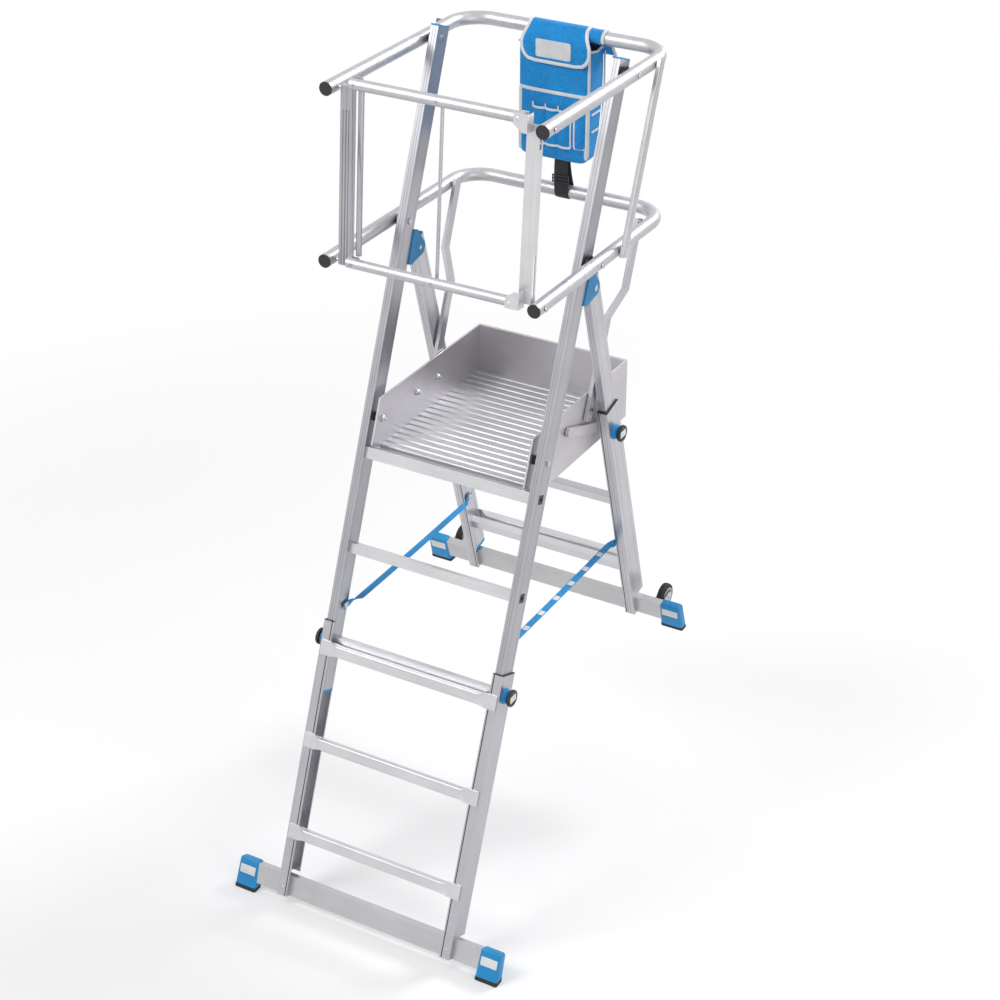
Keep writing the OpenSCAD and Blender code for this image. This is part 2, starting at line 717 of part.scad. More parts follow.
module side_board_right() { side_board(); }
deck_wall = 5;
deck_skin = 6;
deck_bays = 5;
module platform_deck() {
    x = board_half - board_t;
    y0 = board_fore + 3;
    y1 = platform_reach - toe_t;
    count = floor((y1 - y0 - 8) / groove_pitch);
    bay = (y1 - y0 - 2 * deck_wall) / deck_bays;
    color("whitesmoke") at_pivot() difference() {
        span([-x, y0, -deck_below - deck_t], [x, y1, -deck_below]);
        for (i = [0:deck_bays - 1])
            span([-x + deck_wall, y0 + deck_wall + i * bay + deck_wall / 2, -deck_below - deck_t - over],
                 [x - deck_wall, y0 + deck_wall + (i + 1) * bay - deck_wall / 2, -deck_below - deck_skin]);
        for (i = [0:count])
            span([-x - over, y0 + 6 + i * groove_pitch, -deck_below - groove_d],
                 [x + over, y0 + 6 + i * groove_pitch + groove_w, -deck_below + over]);
    }
}
module toe_board() {
    x = board_half - board_t;
    color("rosybrown") at_pivot()
        span([-x, platform_reach - toe_t, -board_below], [x, platform_reach, board_above]);
}
layer_in = board_half + 2;      // inner face of the link and strut layer
layer_out = inner_half - 5;     // outer face of that layer
module board_bolts() {
    x_in = board_half - board_t;
    color("lightgray") at_pivot() both() for (y = [link_reach, strut_reach]) translate([0, y, 0]) {
        bar_x(x_in, layer_out, bolt_dia / 2);
        bar_x(x_in - head_t, x_in, bolt_dia / 2 + 3);
        difference() {
            bar_x(board_half, layer_in - seat_gap, bolt_dia / 2 + 3);
            bar_x(board_half - over, layer_in, bolt_dia / 2);
        }
    }
}
// Link bars carry the platform from the rear legs
module link_bars() {
    run = norm(leg_pin - link_pin);
    tilt = atan2(leg_pin.y - link_pin.y, leg_pin.x - link_pin.x);
    r = link_w / 2;
    color("silver") placed() both() at(link_pin) rotate([tilt, 0, 0]) {
        difference() {
            union() {
                span([layer_in, 0, -r], [layer_out, run, r]);
                for (y = [0, run]) translate([0, y, 0]) bar_x(layer_in, layer_out, r);
            }
            bar_x(layer_in - over, layer_out + over, bolt_dia / 2 + turn_gap);
        }
        translate([0, run, 0]) bar_x(layer_out, inner_half - seat_gap, bolt_dia / 2 + 3);
    }
}
// Flat bars outside the hoops that keep them parallel
module rail_struts() {
    x = hoop_outer + low_head_t + 2 * seat_gap;
    rise = upper_pivot - lower_pivot;
    run = norm(rise);
    color("silver") placed() both()
        at(lower_pivot + [rail_reach, 0]) rotate([-atan2(rise.x, rise.y), 0, 0]) {
            difference() {
                span([x, -rail_w / 2, -16], [x + rail_t, rail_w / 2, run + 16]);
                for (y = [-rail_w / 4, 0, rail_w / 4])
                    span([x + rail_t - 1.5, y - 1.2, -16 - over], [x + rail_t + over, y + 1.2, run + 16 + over]);
            }
            for (z = [0, run]) translate([0, 0, z]) bar_x(hoop_half, x + 1, 5);
        }
}
strut_low = layer_in;
strut_t = layer_out - layer_in;
strut_high = hoop_face - 3 - strut_t;
joggle_from = 282;
joggle_run = 88;
// Struts from the platform to the lower hoop, set outwards half way up
module bent_struts() {
    rise = strut_head - strut_foot;
    run = norm(rise);
    color("silver") placed() both() at(strut_foot) rotate([-atan2(rise.x, rise.y), 0, 0]) {
        difference() {
            rotate([90, 0, 0]) linear_extrude(strut_w, center = true) polygon([
                [strut_low, -15], [strut_low + strut_t, -15], [strut_low + strut_t, joggle_from],
                [strut_high + strut_t, joggle_from + joggle_run], [strut_high + strut_t, run + 15],
                [strut_high, run + 15], [strut_high, joggle_from + joggle_run + 3],
                [strut_low, joggle_from + 3]]);
            bar_x(strut_low - over, strut_low + strut_t + over, bolt_dia / 2 + turn_gap);
        }
        translate([0, 0, run]) {
            bar_x(strut_high + strut_t - 1, hoop_half, 6);
            bar_x(strut_high + strut_t, hoop_face - seat_gap, 11);
        }
    }
}

// Guard hoops, placed from their pivots
module hoop_path(fore, aft, r) {
    x_bar = hoop_half - hoop_bend;
    translate([hoop_half, -fore, 0]) rotate([-90, 0, 0]) cylinder(h = fore + aft - hoop_bend, r = r);
    translate([x_bar, aft - hoop_bend, 0]) rotate_extrude(angle = 90) translate([hoop_bend, 0]) circle(r = r);
    translate([0, aft, 0]) bar_x(-over / 10, x_bar, r);
}
module hoop(fore, aft, gate_y, inner_holes) {
    color("silver") difference() {
        both() hoop_path(fore, aft, hoop_dia / 2);
        both() hoop_path(fore + over, aft, hoop_dia / 2 - hoop_wall);
        both() {
            bar_x(hoop_face - over, hoop_outer + over, bolt_dia / 2 + turn_gap);
            translate([0, -gate_y, 0]) bar_x(hoop_face - over, hoop_outer + over, gate_pin_dia / 2 + turn_gap);
            translate([0, rail_reach, 0]) bar_x(hoop_half, hoop_outer + over, 5 + turn_gap);
            for (y = inner_holes) translate([0, y, 0]) bar_x(hoop_face - over, hoop_half, 6 + turn_gap);
        }
    }
}
module hoop_fittings(fore, gate_y, x_left, x_right) {
    r = gate_pin_dia / 2;
    color("black") both() {
        translate([hoop_half, -fore - 3, 0]) rotate([-90, 0, 0]) cylinder(h = 3, r = hoop_dia / 2);
        translate([hoop_half, -fore, 0]) rotate([-90, 0, 0])
            cylinder(h = 14, r = hoop_dia / 2 - hoop_wall - face_gap);
    }
    color("lightgray") translate([0, -gate_y, 0]) {
        bar_x(x_right, hoop_outer + 1, r);
        bar_x(hoop_outer + 1, hoop_outer + 4, r + 3);
        bar_x(-hoop_outer - 1, -x_left, r);
        bar_x(-hoop_outer - 4, -hoop_outer - 1, r + 3);
    }
}
post_out = hoop_face - post_gap;
post_in = post_out - post_w;
channel_out = hoop_face - 2;
module upper_hoop() { at_upper() hoop(upper_fore, upper_aft, gate_pin_fore, []); }
module lower_hoop() { at_lower() hoop(lower_fore, lower_aft, gate_pin_low, [strut_reach]); }
module upper_hoop_fittings() {
    at_upper() hoop_fittings(upper_fore, gate_pin_fore, post_in, channel_out + seat_gap);
}
module lower_hoop_fittings() {
    at_lower() hoop_fittings(lower_fore, gate_pin_low, post_out + seat_gap, channel_out + seat_gap);
}

// Gate: a lifting parallelogram across the front, placed from its upper pin
gate_bar_y = -26;
gate_bar_z = 22;
gate_low_z = 8 - gate_len;
gate_low_y = gate_bar_y + (gate_bar_dia - gate_low_dia) / 2;
gate_pivot_dia = 8;
gate_hinge_x = post_in - post_hinge_in;
channel_hinge_x = channel_out - post_w - channel_hinge_in;
groove_stop = 55;           // the front grooves of the post end here below its upper pin
post_past = 10;             // length of the post below its lower pin
slot_half = gate_pin_dia / 2 + seat_gap;
slot_rise = 112;            // travel of the lower pins up their slots
post_fore = post_d / 2 - 2; // half depth of the post's box
block_y = -10;              // front face of the hinge blocks
block_up = 13;
block_down = 15;
module gate_hinge(x) {
    for (z = [gate_bar_z, gate_low_z]) translate([x, 0, z]) rotate([90, 0, 0])
        cylinder(h = -gate_bar_y + gate_bar_dia / 2 + 2, r = gate_pivot_dia / 2);
}
module gate_post() {
    color("silver") in_gate() {
        difference() {
            span([-post_out, -post_fore, -gate_len - post_past], [-post_in, post_fore, 8]);
            bar_x(-post_out - over, -post_in + over, gate_pin_dia / 2 + turn_gap);
            span([-post_out - over, -slot_half, -gate_len - slot_half],
                 [-post_out + 6, slot_half, -gate_len + slot_rise]);
            for (x = [0.25, 0.5, 0.75]) translate([-post_out + post_w * x, -post_fore, 0])
                span([-1.5, -over, -gate_len - post_past - over], [1.5, 2, -groove_stop]);
        }
        translate([-gate_hinge_x, 3, gate_low_z + 14]) cylinder(h = gate_bar_z - 20 - gate_low_z, r = slim_dia / 2);
        span([-post_in, block_y, gate_bar_z - block_down], [-gate_hinge_x + 9, -2, gate_bar_z + block_up]);
        span([-post_in, block_y, gate_low_z - block_down], [-gate_hinge_x + 9, -7, gate_low_z + block_up]);
        gate_hinge(-gate_hinge_x);
    }
}
module gate_bar(y, z, dia, past) {
    x0 = -gate_hinge_x - past;
    x1 = channel_hinge_x + past;
    translate([0, y, z]) difference() {
        bar_x(x0, x1, dia / 2);
        bar_x(x0 + 2.5, x1 - 2.5, dia / 2 - 2);
        for (x = [-gate_hinge_x, gate_rod_x, channel_hinge_x]) translate([x, 0, 0]) rotate([90, 0, 0])
            cylinder(h = dia + 2 * over, r = gate_pivot_dia / 2 + turn_gap, center = true);
    }
}
module gate_top_bar() {
    color("silver") in_gate() gate_bar(gate_bar_y, gate_bar_z, gate_bar_dia, 13);
}
module gate_bottom_bar() {
    color("silver") in_gate() gate_bar(gate_low_y, gate_low_z, gate_low_dia, 16);
}
module gate_channel() {
    x0 = channel_out - post_w;
    z0 = gate_low_z - 4;
    color("silver") in_gate() {
        difference() {
            span([x0, -post_fore, z0], [channel_out, post_d / 2, 6]);
            span([x0 + 3, -post_d / 2 + 5, z0 - over], [channel_out - 3, post_d / 2 + over, 6 + over]);
            span([channel_out - 4, -slot_half, z0 + 18], [channel_out + over, slot_half, z0 + 16 + slot_rise]);
            span([channel_out - 4, -slot_half, -60], [channel_out + over, slot_half, -30]);
        }
        for (z = [gate_bar_z, gate_low_z])
            span([channel_hinge_x - 12, block_y, z - block_down], [x0 + 3, -7, z + block_up]);
        span([x0, block_y, 6], [x0 + 3, -7, gate_bar_z + block_up]);
        for (z = [gate_bar_z, gate_low_z]) translate([channel_hinge_x, -8, z])
            rotate([90, 0, 0]) cylinder(h = -gate_bar_y + gate_bar_dia / 2 - 6, r = gate_pivot_dia / 2);
    }
}
module gate_rod() {
    color("silver") in_gate() {
        translate([gate_rod_x, -4, gate_low_z - 6]) cylinder(h = gate_bar_z - gate_low_z + 12, r = gate_rod_dia / 2);
        for (z = [gate_bar_z, gate_low_z]) translate([gate_rod_x, -4, z]) rotate([90, 0, 0])
            cylinder(h = -gate_bar_y + gate_bar_dia / 2 - 2, r = gate_pivot_dia / 2);
    }
}

// Tool bag over the back of the upper hoop, and the strap that ties it to the lower hoop
bag_top = hoop_dia / 2 + 4;
module tool_bag() {
    r = hoop_dia / 2;
    color("steelblue") at_upper() difference() {
        translate([bag_x - bag_w / 2, 0, 0]) rotate([90, 0, 90]) linear_extrude(bag_w) polygon([
            [bag_fore, -bag_below], [bag_fore + bag_foot_d, -bag_below],
            [bag_fore + bag_d - 6, -bag_below / 3], [bag_fore + bag_d, -r],
            [upper_aft + r, bag_top], [upper_aft - r, bag_top], [bag_fore, 2]]);
        translate([0, upper_aft, 0]) bar_x(bag_x - bag_w, bag_x + bag_w, r + seat_gap);
    }
}
module bag_strap() {
    drop = upper_pivot.y - bag_below - lower_pivot.y;
    r = hoop_dia / 2 + seat_gap;
    color("black") at_lower() translate([bag_strap_x - bag_strap_w / 2, lower_aft, 0])
        rotate([90, 0, 90]) linear_extrude(bag_strap_w) difference() {
            union() {
                circle(r = r + 2.5);
                translate([-r - 2.5, 0]) square([2.5, drop]);
                translate([r, 0]) square([2.5, drop]);
            }
            circle(r = r);
            translate([-r, 0]) square([2 * r, drop + over]);
        }
}

front_stile_left();
front_stile_right();
stile_top_caps();
stile_foot_plugs();
front_rungs();
platform_beam();
lock_socket_plugs();
hinge_brackets();
hinge_pins();
hoop_spacers();
hoop_pivot_bolts();
platform_pivot_bolts();
safety_straps();
lower_stile_left();
lower_stile_right();
lower_rungs();
front_stabiliser_bar();
front_shoes();
front_soles();
front_edge_guides();
front_knob_left();
front_knob_right();
front_knob_housings();
rear_leg_left();
rear_leg_right();
rear_rungs();
rear_leg_plugs();
rear_socket_plugs();
rear_lower_leg_left();
rear_lower_leg_right();
rear_lower_rung();
rear_stabiliser_bar();
rear_shoes();
rear_soles();
rear_edge_guides();
rear_knob_left();
rear_knob_right();
rear_knob_housings();
wheel_brackets();
wheel_left();
wheel_right();
platform_deck();
side_board_left();
side_board_right();
toe_board();
board_bolts();
link_bars();
rail_struts();
bent_struts();
upper_hoop();
upper_hoop_fittings();
lower_hoop();
lower_hoop_fittings();
gate_post();
gate_top_bar();
gate_bottom_bar();
gate_channel();
gate_rod();
tool_bag();
bag_strap();
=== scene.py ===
import bpy
import bmesh
import json
import math
import numpy as np
from numpy import array, asarray, clip, concatenate, cos, cross, full, linspace, pi, sin, stack
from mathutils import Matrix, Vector


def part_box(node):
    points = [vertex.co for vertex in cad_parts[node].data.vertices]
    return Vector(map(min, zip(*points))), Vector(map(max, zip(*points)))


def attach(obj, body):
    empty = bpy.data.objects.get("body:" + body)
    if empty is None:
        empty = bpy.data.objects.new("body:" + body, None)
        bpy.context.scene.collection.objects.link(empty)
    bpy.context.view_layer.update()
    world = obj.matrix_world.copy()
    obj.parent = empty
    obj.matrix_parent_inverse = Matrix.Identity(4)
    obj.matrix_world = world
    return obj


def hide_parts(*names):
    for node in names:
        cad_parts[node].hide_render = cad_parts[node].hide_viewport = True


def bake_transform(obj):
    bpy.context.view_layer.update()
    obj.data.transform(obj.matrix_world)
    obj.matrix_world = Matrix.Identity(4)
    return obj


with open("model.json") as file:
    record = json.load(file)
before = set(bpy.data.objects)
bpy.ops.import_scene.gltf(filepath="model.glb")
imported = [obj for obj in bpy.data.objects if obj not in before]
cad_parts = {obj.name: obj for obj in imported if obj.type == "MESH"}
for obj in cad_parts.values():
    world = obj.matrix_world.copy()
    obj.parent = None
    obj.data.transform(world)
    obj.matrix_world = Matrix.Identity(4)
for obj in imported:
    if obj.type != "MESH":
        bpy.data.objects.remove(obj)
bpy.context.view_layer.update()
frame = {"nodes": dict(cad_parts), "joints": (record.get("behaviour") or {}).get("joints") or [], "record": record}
nodes = frame["nodes"]
joints = {j["name"]: j for j in frame["joints"]}
print("frame loaded:", len(nodes), "nodes")

xWay, yWay, zWay = np.eye(3)


# Directions of the two leaning frames and of the gate, from the axes of their sliding joints
def axisOf(name):
    return array(joints[name]["axis"], float)


def jointAt(name):
    return array(joints[name]["pos_m"], float)


frontUp, legUp, liftAxis = axisOf("front_leg_slide"), -axisOf("rear_leg_slide"), axisOf("gate_lift")
frontIn, legIn = (array([0.0, up[2], -up[1]]) for up in (frontUp, legUp))
frontLean, rearLean = (math.atan2(up[1], up[2]) for up in (frontUp, legUp))
gateLean = math.atan2(liftAxis[2], -liftAxis[1])

# Foot of the front stile line: a point where u and the depth behind the stile faces are both zero
frame0 = {"pivotUp": 1.3146, "pivotIn": 0.0295}
frontZero = jointAt("platform_fold") - frontUp * frame0["pivotUp"] - frontIn * frame0["pivotIn"]
legZero = jointAt("rear_leg_fold") - legIn * frame0["pivotIn"]
frontZero[0] = legZero[0] = 0.0

# A leaning frame is its zero point and its directions inwards and upwards
frontLeaning, legLeaning = (frontZero, frontIn, frontUp), (legZero, legIn, legUp)


# Points x, depth, up of a leaning frame, held in the last axis, in the row frame
def fromLeaning(p, leaning):
    zero, inward, up = leaning
    p = asarray(p, float)
    return zero + p[..., :1] * xWay + p[..., 1:2] * inward + p[..., 2:3] * up


def pointsOf(name):
    mesh = nodes[name].data
    co = np.empty(len(mesh.vertices) * 3)
    mesh.vertices.foreach_get("co", co)
    return co.reshape(-1, 3)


# Lowest and highest of some values
def ends(v):
    return float(v.min()), float(v.max())


# Lowest and highest corner, middle and half sizes of a node
def boxOf(name):
    lo, hi = (array(corner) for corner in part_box(name))
    return lo, hi, (lo + hi) / 2, (hi - lo) / 2


# The points of a node, on one side or on both, in a leaning frame's x, depth and up
def reachOf(name, leaning, side=0):
    p = pointsOf(name)
    p = p[p[:, 0] * side > 0] if side else p
    r = p - leaning[0]
    return stack([p[:, 0], r @ leaning[1], r @ leaning[2]], 1)


# Camera, at the place and angle of the photograph, measured from the foot of the front stile line
camera0 = {"fromFoot": (2.8213, -4.1679, 4.1557), "azimuth": 29.81, "elevation": 29.9, "roll": 0.04,
           "lens": 80.75, "sensor": 36.0}


def makeCamera(c=camera0):
    data = bpy.data.cameras.new("camera")
    data.lens, data.sensor_width, data.clip_end = c["lens"], c["sensor"], 60.0
    cam = bpy.data.objects.new("camera", data)
    cam.location = frontZero + array(c["fromFoot"])
    cam.rotation_mode = "XYZ"
    cam.rotation_euler = (math.radians(90 - c["elevation"]), math.radians(c["roll"]),
                          math.radians(c["azimuth"]))
    bpy.context.scene.collection.objects.link(cam)
    bpy.context.scene.camera = cam


makeCamera()


# A new shader node of a kind, with its settings; it gives one of its outputs, or all of them when out is None
def shader(tree, kind, inputs=(), out=0, **settings):
    node = tree.nodes.new("ShaderNode" + kind)
    for key, value in settings.items():
        setattr(node, key, value)
    feed(tree, node, dict(inputs))
    return node.outputs if out is None else node.outputs[out]


# An input takes a value, or the socket that feeds it
def feed(tree, node, inputs):
    for key, value in inputs.items():
        if isinstance(value, bpy.types.NodeSocket):
            tree.links.new(value, node.inputs[key])
        else:
            node.inputs[key].default_value = value


# Studio: large soft lamps, a pale floor and a pale surround that only rays see. Each lamp gives its place,
# the point it faces, its size and its power; the floor turns white between the near and the far distance
studio = {"floor": (0.84, 0.84, 0.85), "floorGlow": 0.17, "world": 0.50, "seen": 1.0, "half": 14.0,
          "near": 1.7, "far": 4.2,
          "lamps": {"key": ((-2.6, -3.2, 5.2), (0, 0.1, 1.2), (2.6, 2.6), 125.0),
                    "fill": ((4.6, -2.2, 2.6), (0, 0.1, 1.2), (3.0, 3.0), 52.0),
                    "rim": ((1.9, 4.2, 5.0), (0, -0.2, 0.9), (1.8, 1.5), 150.0)}}


def areaLamp(name, place, target, size, power):
    data = bpy.data.lights.new(name, "AREA")
    data.shape, data.size, data.size_y, data.energy = "RECTANGLE", size[0], size[1], power
    lamp = bpy.data.objects.new(name, data)
    lamp.location = place
    lamp.rotation_euler = (Vector(target) - Vector(place)).to_track_quat("-Z", "Y").to_euler()
    bpy.context.scene.collection.objects.link(lamp)


# A strength for the rays that see a surround: camera, glossy and transmission rays, and zero for others
def seenRays(tree, strength):
    path = shader(tree, "LightPath", out=None)
    value = path["Is Camera Ray"]
    for name in ("Is Glossy Ray", "Is Transmission Ray"):
        value = shader(tree, "Math", {0: value, 1: path[name]}, operation="MAXIMUM")
    return shader(tree, "Math", {0: value, 1: strength}, operation="MULTIPLY")


def makeWorld(s=studio):
    world = bpy.data.worlds.new("studio")
    bpy.context.scene.world = world
    world.use_nodes = True
    tree = world.node_tree
    tree.nodes.clear()
    plain, seen = (shader(tree, "Background", {0: (1, 1, 1, 1), 1: s[key]}) for key in ("world", "seen"))
    mix = shader(tree, "MixShader", {0: seenRays(tree, 1.0), 1: plain, 2: seen})
    feed(tree, tree.nodes.new("ShaderNodeOutputWorld"), {0: mix})


def makeFloor(s=studio):
    mesh = bpy.data.meshes.new("floor")
    h = s["half"]
    mesh.from_pydata([(-h, -h, 0), (h, -h, 0), (h, h, 0), (-h, h, 0)], [], [(0, 1, 2, 3)])
    floor = bpy.data.objects.new("floor", mesh)
    bpy.context.scene.collection.objects.link(floor)
    mat = bpy.data.materials.new("floor")
    mat.use_nodes = True
    tree = mat.node_tree
    base = tree.nodes["Principled BSDF"]
    feed(tree, base, {"Base Color": (*s["floor"], 1), "Roughness": 0.9})
    # The floor adds a little of its own paleness for the camera, and keeps the shadow
    glow = shader(tree, "Emission", {1: seenRays(tree, s["floorGlow"])})
    lit = shader(tree, "AddShader", {0: base.outputs[0], 1: glow})
    # Further from the step the floor turns into the plain white of the surround
    coords = shader(tree, "TexCoord", out="Object")
    away = shader(tree, "VectorMath", {0: coords}, "Value", operation="LENGTH")
    share = shader(tree, "MapRange", {"From Min": s["near"], "From Max": s["far"], "Value": away},
                   interpolation_type="SMOOTHSTEP")
    white = shader(tree, "Emission", {1: seenRays(tree, s["seen"])})
    turn = shader(tree, "MixShader", {0: share, 1: lit, 2: white})
    feed(tree, tree.nodes["Material Output"], {0: turn})
    mesh.materials.append(mat)


for lampName, lampSet in studio["lamps"].items():
    areaLamp(lampName, *lampSet)
makeWorld()
makeFloor()
print("camera and studio made")


# Materials
def newMaterial(name):
    mat = bpy.data.materials.new(name)
    mat.use_nodes = True
    return mat, mat.node_tree, mat.node_tree.nodes["Principled BSDF"]


# The pattern's own axes are turned by the angles given, then each is repeated scale times in a metre
def mapping(tree, scale=(1, 1, 1), turn=(0, 0, 0), zero=(0, 0, 0)):
    return shader(tree, "Mapping", {
        "Scale": [1 / k for k in scale], "Rotation": turn, "Location": zero,
        "Vector": shader(tree, "TexCoord", out="Object")}, vector_type="TEXTURE")


def noise(tree, vector, scale, detail):
    inputs = {"Scale": scale, "Detail": detail, "Roughness": 0.55, "Vector": vector}
    return shader(tree, "TexNoise", inputs, "Fac")


# The factor from 0.3 to 0.7 carried to the span from low to high
def spread(tree, fac, low, high):
    span = {"From Min": 0.3, "From Max": 0.7, "To Min": low, "To Max": high}
    return shader(tree, "MapRange", {**span, "Value": fac})


def ramp(tree, fac, stops):
    out = shader(tree, "ValToRGB", {0: fac})
    points = out.node.color_ramp.elements
    while len(points) < len(stops):
        points.new(0.5)
    for point, (at, colour) in zip(points, stops):
        point.position, point.color = at, (*colour, 1)
    return out


def multiply(tree, factor, a, b):
    inputs = {"Factor": factor, "A": a, "B": b}
    return shader(tree, "Mix", inputs, "Result", data_type="RGBA", blend_type="MULTIPLY")


def bump(tree, height, distance, strength, normal=None):
    inputs = {"Distance": distance, "Strength": strength, "Height": height}
    return shader(tree, "Bump", {**inputs, "Normal": normal} if normal else inputs)


def softEdge(tree, radius):
    return shader(tree, "Bevel", {"Radius": radius}, samples=4)


# Lengthwise grooves of a drawn profile, with painted shade in them: dark at the given shares of its width and its
# depth, 1 elsewhere.
# Its width runs from one absolute x to another, its depth from one distance behind zero to another
# The groove tone is painted shade, laid into the colour of the grooves as well as into their bump
groove0 = {"soft": 0.0005, "dark": 0.45, "strength": 0.6, "deep": 0.0008}


def grooveShadeMask(tree, lean, g):
    place = mapping(tree, turn=(-lean, 0, 0), zero=g["zero"])
    parts = shader(tree, "SeparateXYZ", {0: place}, None)
    away = shader(tree, "Math", {0: parts[0]}, operation="ABSOLUTE")
    white, dark = (1, 1, 1), (groove0["dark"],) * 3
    masks = []
    for value, (low, high), shares in zip((away, parts[1]), g["spans"], g["shares"]):
        share = shader(tree, "MapRange", {"From Min": low, "From Max": high, "Value": value})
        half, soft = g["half"] / (high - low), groove0["soft"] / (high - low)
        stops = [(0.0, white)]
        for at in shares:
            stops += [(at - half - soft, white), (at - half, dark), (at + half, dark),
                      (at + half + soft, white)]
        masks.append(ramp(tree, share, stops))
    return multiply(tree, 1.0, *masks)


# Settings of a finish with grooves: the lean of a straight node, and the spans of its width and depth
def profileOf(name, across, down, half=0.0007, lean=None):
    pts = pointsOf(name)
    if pts[:, 0].min() < 0 < pts[:, 0].max():
        pts = pts[pts[:, 0] > 0]
    middle = pts.mean(0)
    middle[0] = 0.0
    if lean is None:
        low, high = np.percentile(pts[:, 2], [12, 88])
        run = pts[pts[:, 2] > high].mean(0) - pts[pts[:, 2] < low].mean(0)
        lean = math.atan2(run[1], run[2])
    depth = (pts - middle) @ array([0, math.cos(lean), -math.sin(lean)])
    x = np.abs(pts[:, 0])
    return {"lean": lean, "grooves": {"zero": middle.tolist(), "spans": (ends(x), ends(depth)),
                                      "shares": (across, down), "half": half}}


# The colour, darker and lighter by the shares given, in clouds that the factor draws
def cloudTone(tree, fac, colour, low, high):
    c = array(colour)
    return ramp(tree, fac, [(0.3, tuple(c * low)), (0.7, tuple(np.minimum(c * high, 1)))])


# Bare aluminium: fine drawn lines along the profile, cloudy tone, slightly uneven gloss
metal0 = {"metallic": 0.9, "lineShare": 0.35, "lineTone": (0.78, 0.78, 0.79), "lineDeep": 0.0002,
          "lineStrength": 0.12}


def metalFinish(name, colour, rough, grain=(500, 500, 7), lean=0.0, edge=0.0009, dull=0.06, grooves=None):
    mat, tree, base = newMaterial(name)
    lines = noise(tree, mapping(tree, grain, (-lean, 0, 0)), 1.0, 2.0)
    cloud = noise(tree, mapping(tree, (3, 3, 3)), 2.2, 4.0)
    tone = cloudTone(tree, cloud, colour, 1 - dull, 1 + dull)
    lined = ramp(tree, lines, [(0.3, metal0["lineTone"]), (0.65, (1, 1, 1))])
    shade = multiply(tree, metal0["lineShare"], tone, lined)
    normal = bump(tree, lines, metal0["lineDeep"], metal0["lineStrength"], softEdge(tree, edge))
    if grooves is not None:
        # The grooves darken the colour with painted shade and sink the surface as a bump
        shadeMask = grooveShadeMask(tree, lean, grooves)
        shade = multiply(tree, groove0["strength"], shade, shadeMask)
        normal = bump(tree, shadeMask, groove0["deep"], groove0["strength"], normal)
    feed(tree, base, {"Base Color": shade, "Metallic": metal0["metallic"], "Normal": normal,
                      "Roughness": spread(tree, lines, rough - 0.06, rough + 0.08)})
    return mat


# Moulded plastic: fine spark grain, faint wear in the tone
def plasticFinish(name, colour, rough, grainScale=900.0, depth=0.00012, coat=0.0, edge=0.0012):
    mat, tree, base = newMaterial(name)
    cloud = noise(tree, mapping(tree), 14.0, 5.0)
    grain = noise(tree, mapping(tree), grainScale, 2.0)
    feed(tree, base, {"Base Color": cloudTone(tree, cloud, colour, 0.86, 1.12), "Coat Weight": coat,
                      "Roughness": spread(tree, grain, rough - 0.05, rough + 0.08),
                      "Normal": bump(tree, grain, depth, 0.35, softEdge(tree, edge))})
    return mat


# Cloth: a melange weave, threads crossing at right angles, with a soft fuzz at grazing angles
def clothFinish(name, colour, light, threads=900.0, depth=0.0004, rough=0.85):
    mat, tree, base = newMaterial(name)
    a = noise(tree, mapping(tree, (threads, threads, threads * 0.16)), 1.0, 1.0)
    b = noise(tree, mapping(tree, (threads * 0.16, threads, threads)), 1.0, 1.0)
    weave = shader(tree, "Math", {0: a, 1: b}, operation="MAXIMUM")
    shade = ramp(tree, noise(tree, mapping(tree), 22.0, 4.0), [(0.3, (0.84,) * 3), (0.7, (1.0,) * 3)])
    tone = multiply(tree, 1.0, ramp(tree, weave, [(0.42, colour), (0.68, light)]), shade)
    feed(tree, base, {"Base Color": tone, "Roughness": rough, "Sheen Weight": 0.15,
                      "Normal": bump(tree, weave, depth, 0.6)})
    return mat


# Finishes: a tone, a roughness or for cloth a light tone, further settings, and the nodes that have it. A
# name that ends in an underscore stands for a left and a right node
alongX = {"grain": (7, 500, 500)}
metals = {
    "stileAluminium": ((0.45, 0.45, 0.48), 0.34,
                       profileOf("front_stile_left", (0.30, 0.62), (0.16, 0.84), lean=frontLean),
                       "front_stile_"),
    "legAluminium": ((0.57, 0.57, 0.60), 0.34,
                     profileOf("rear_leg_left", (0.34, 0.66), (0.2, 0.8), lean=rearLean),
                     "rear_leg_ rear_lower_leg_"),
    "strutAluminium": ((0.66, 0.66, 0.68), 0.32, profileOf("rail_struts", (0.33, 0.67), (0.3, 0.7), 0.0006),
                       "rail_struts"),
    "postAluminium": ((0.45, 0.45, 0.48), 0.32, profileOf("gate_post", (0.3, 0.7), (0.3, 0.7)), "gate_post"),
    "sectionAluminium": ((0.50, 0.50, 0.53), 0.28, {"lean": frontLean}, "lower_stile_ bent_struts gate_rod"),
    "channelAluminium": ((0.70, 0.69, 0.71), 0.42, {"lean": gateLean}, "gate_channel"),
    "barAluminium": ((0.54, 0.54, 0.55), 0.36, alongX, "front_stabiliser_bar rear_stabiliser_bar"),
    "rungAluminium": ((0.66, 0.66, 0.68), 0.34, alongX,
                      "front_rungs platform_beam lower_rungs rear_rungs rear_lower_rung"),
    "boardSheet": ((0.61, 0.585, 0.615), 0.42, {"grain": (420, 6, 420)}, "side_board_ toe_board link_bars"),
    "deckSheet": ((0.54, 0.545, 0.56), 0.46, {"grain": (7, 600, 600)}, "platform_deck"),
    "satinTube": ((0.56, 0.56, 0.58), 0.42, {"grain": (60, 60, 60), "dull": 0.03},
                  "upper_hoop lower_hoop gate_top_bar gate_bottom_bar"),
    "zincSteel": ((0.55, 0.56, 0.58), 0.24, {"grain": (240, 240, 240), "edge": 0.0006},
                  "hinge_pins hoop_pivot_bolts platform_pivot_bolts wheel_brackets board_bolts "
                  "safety_straps")}
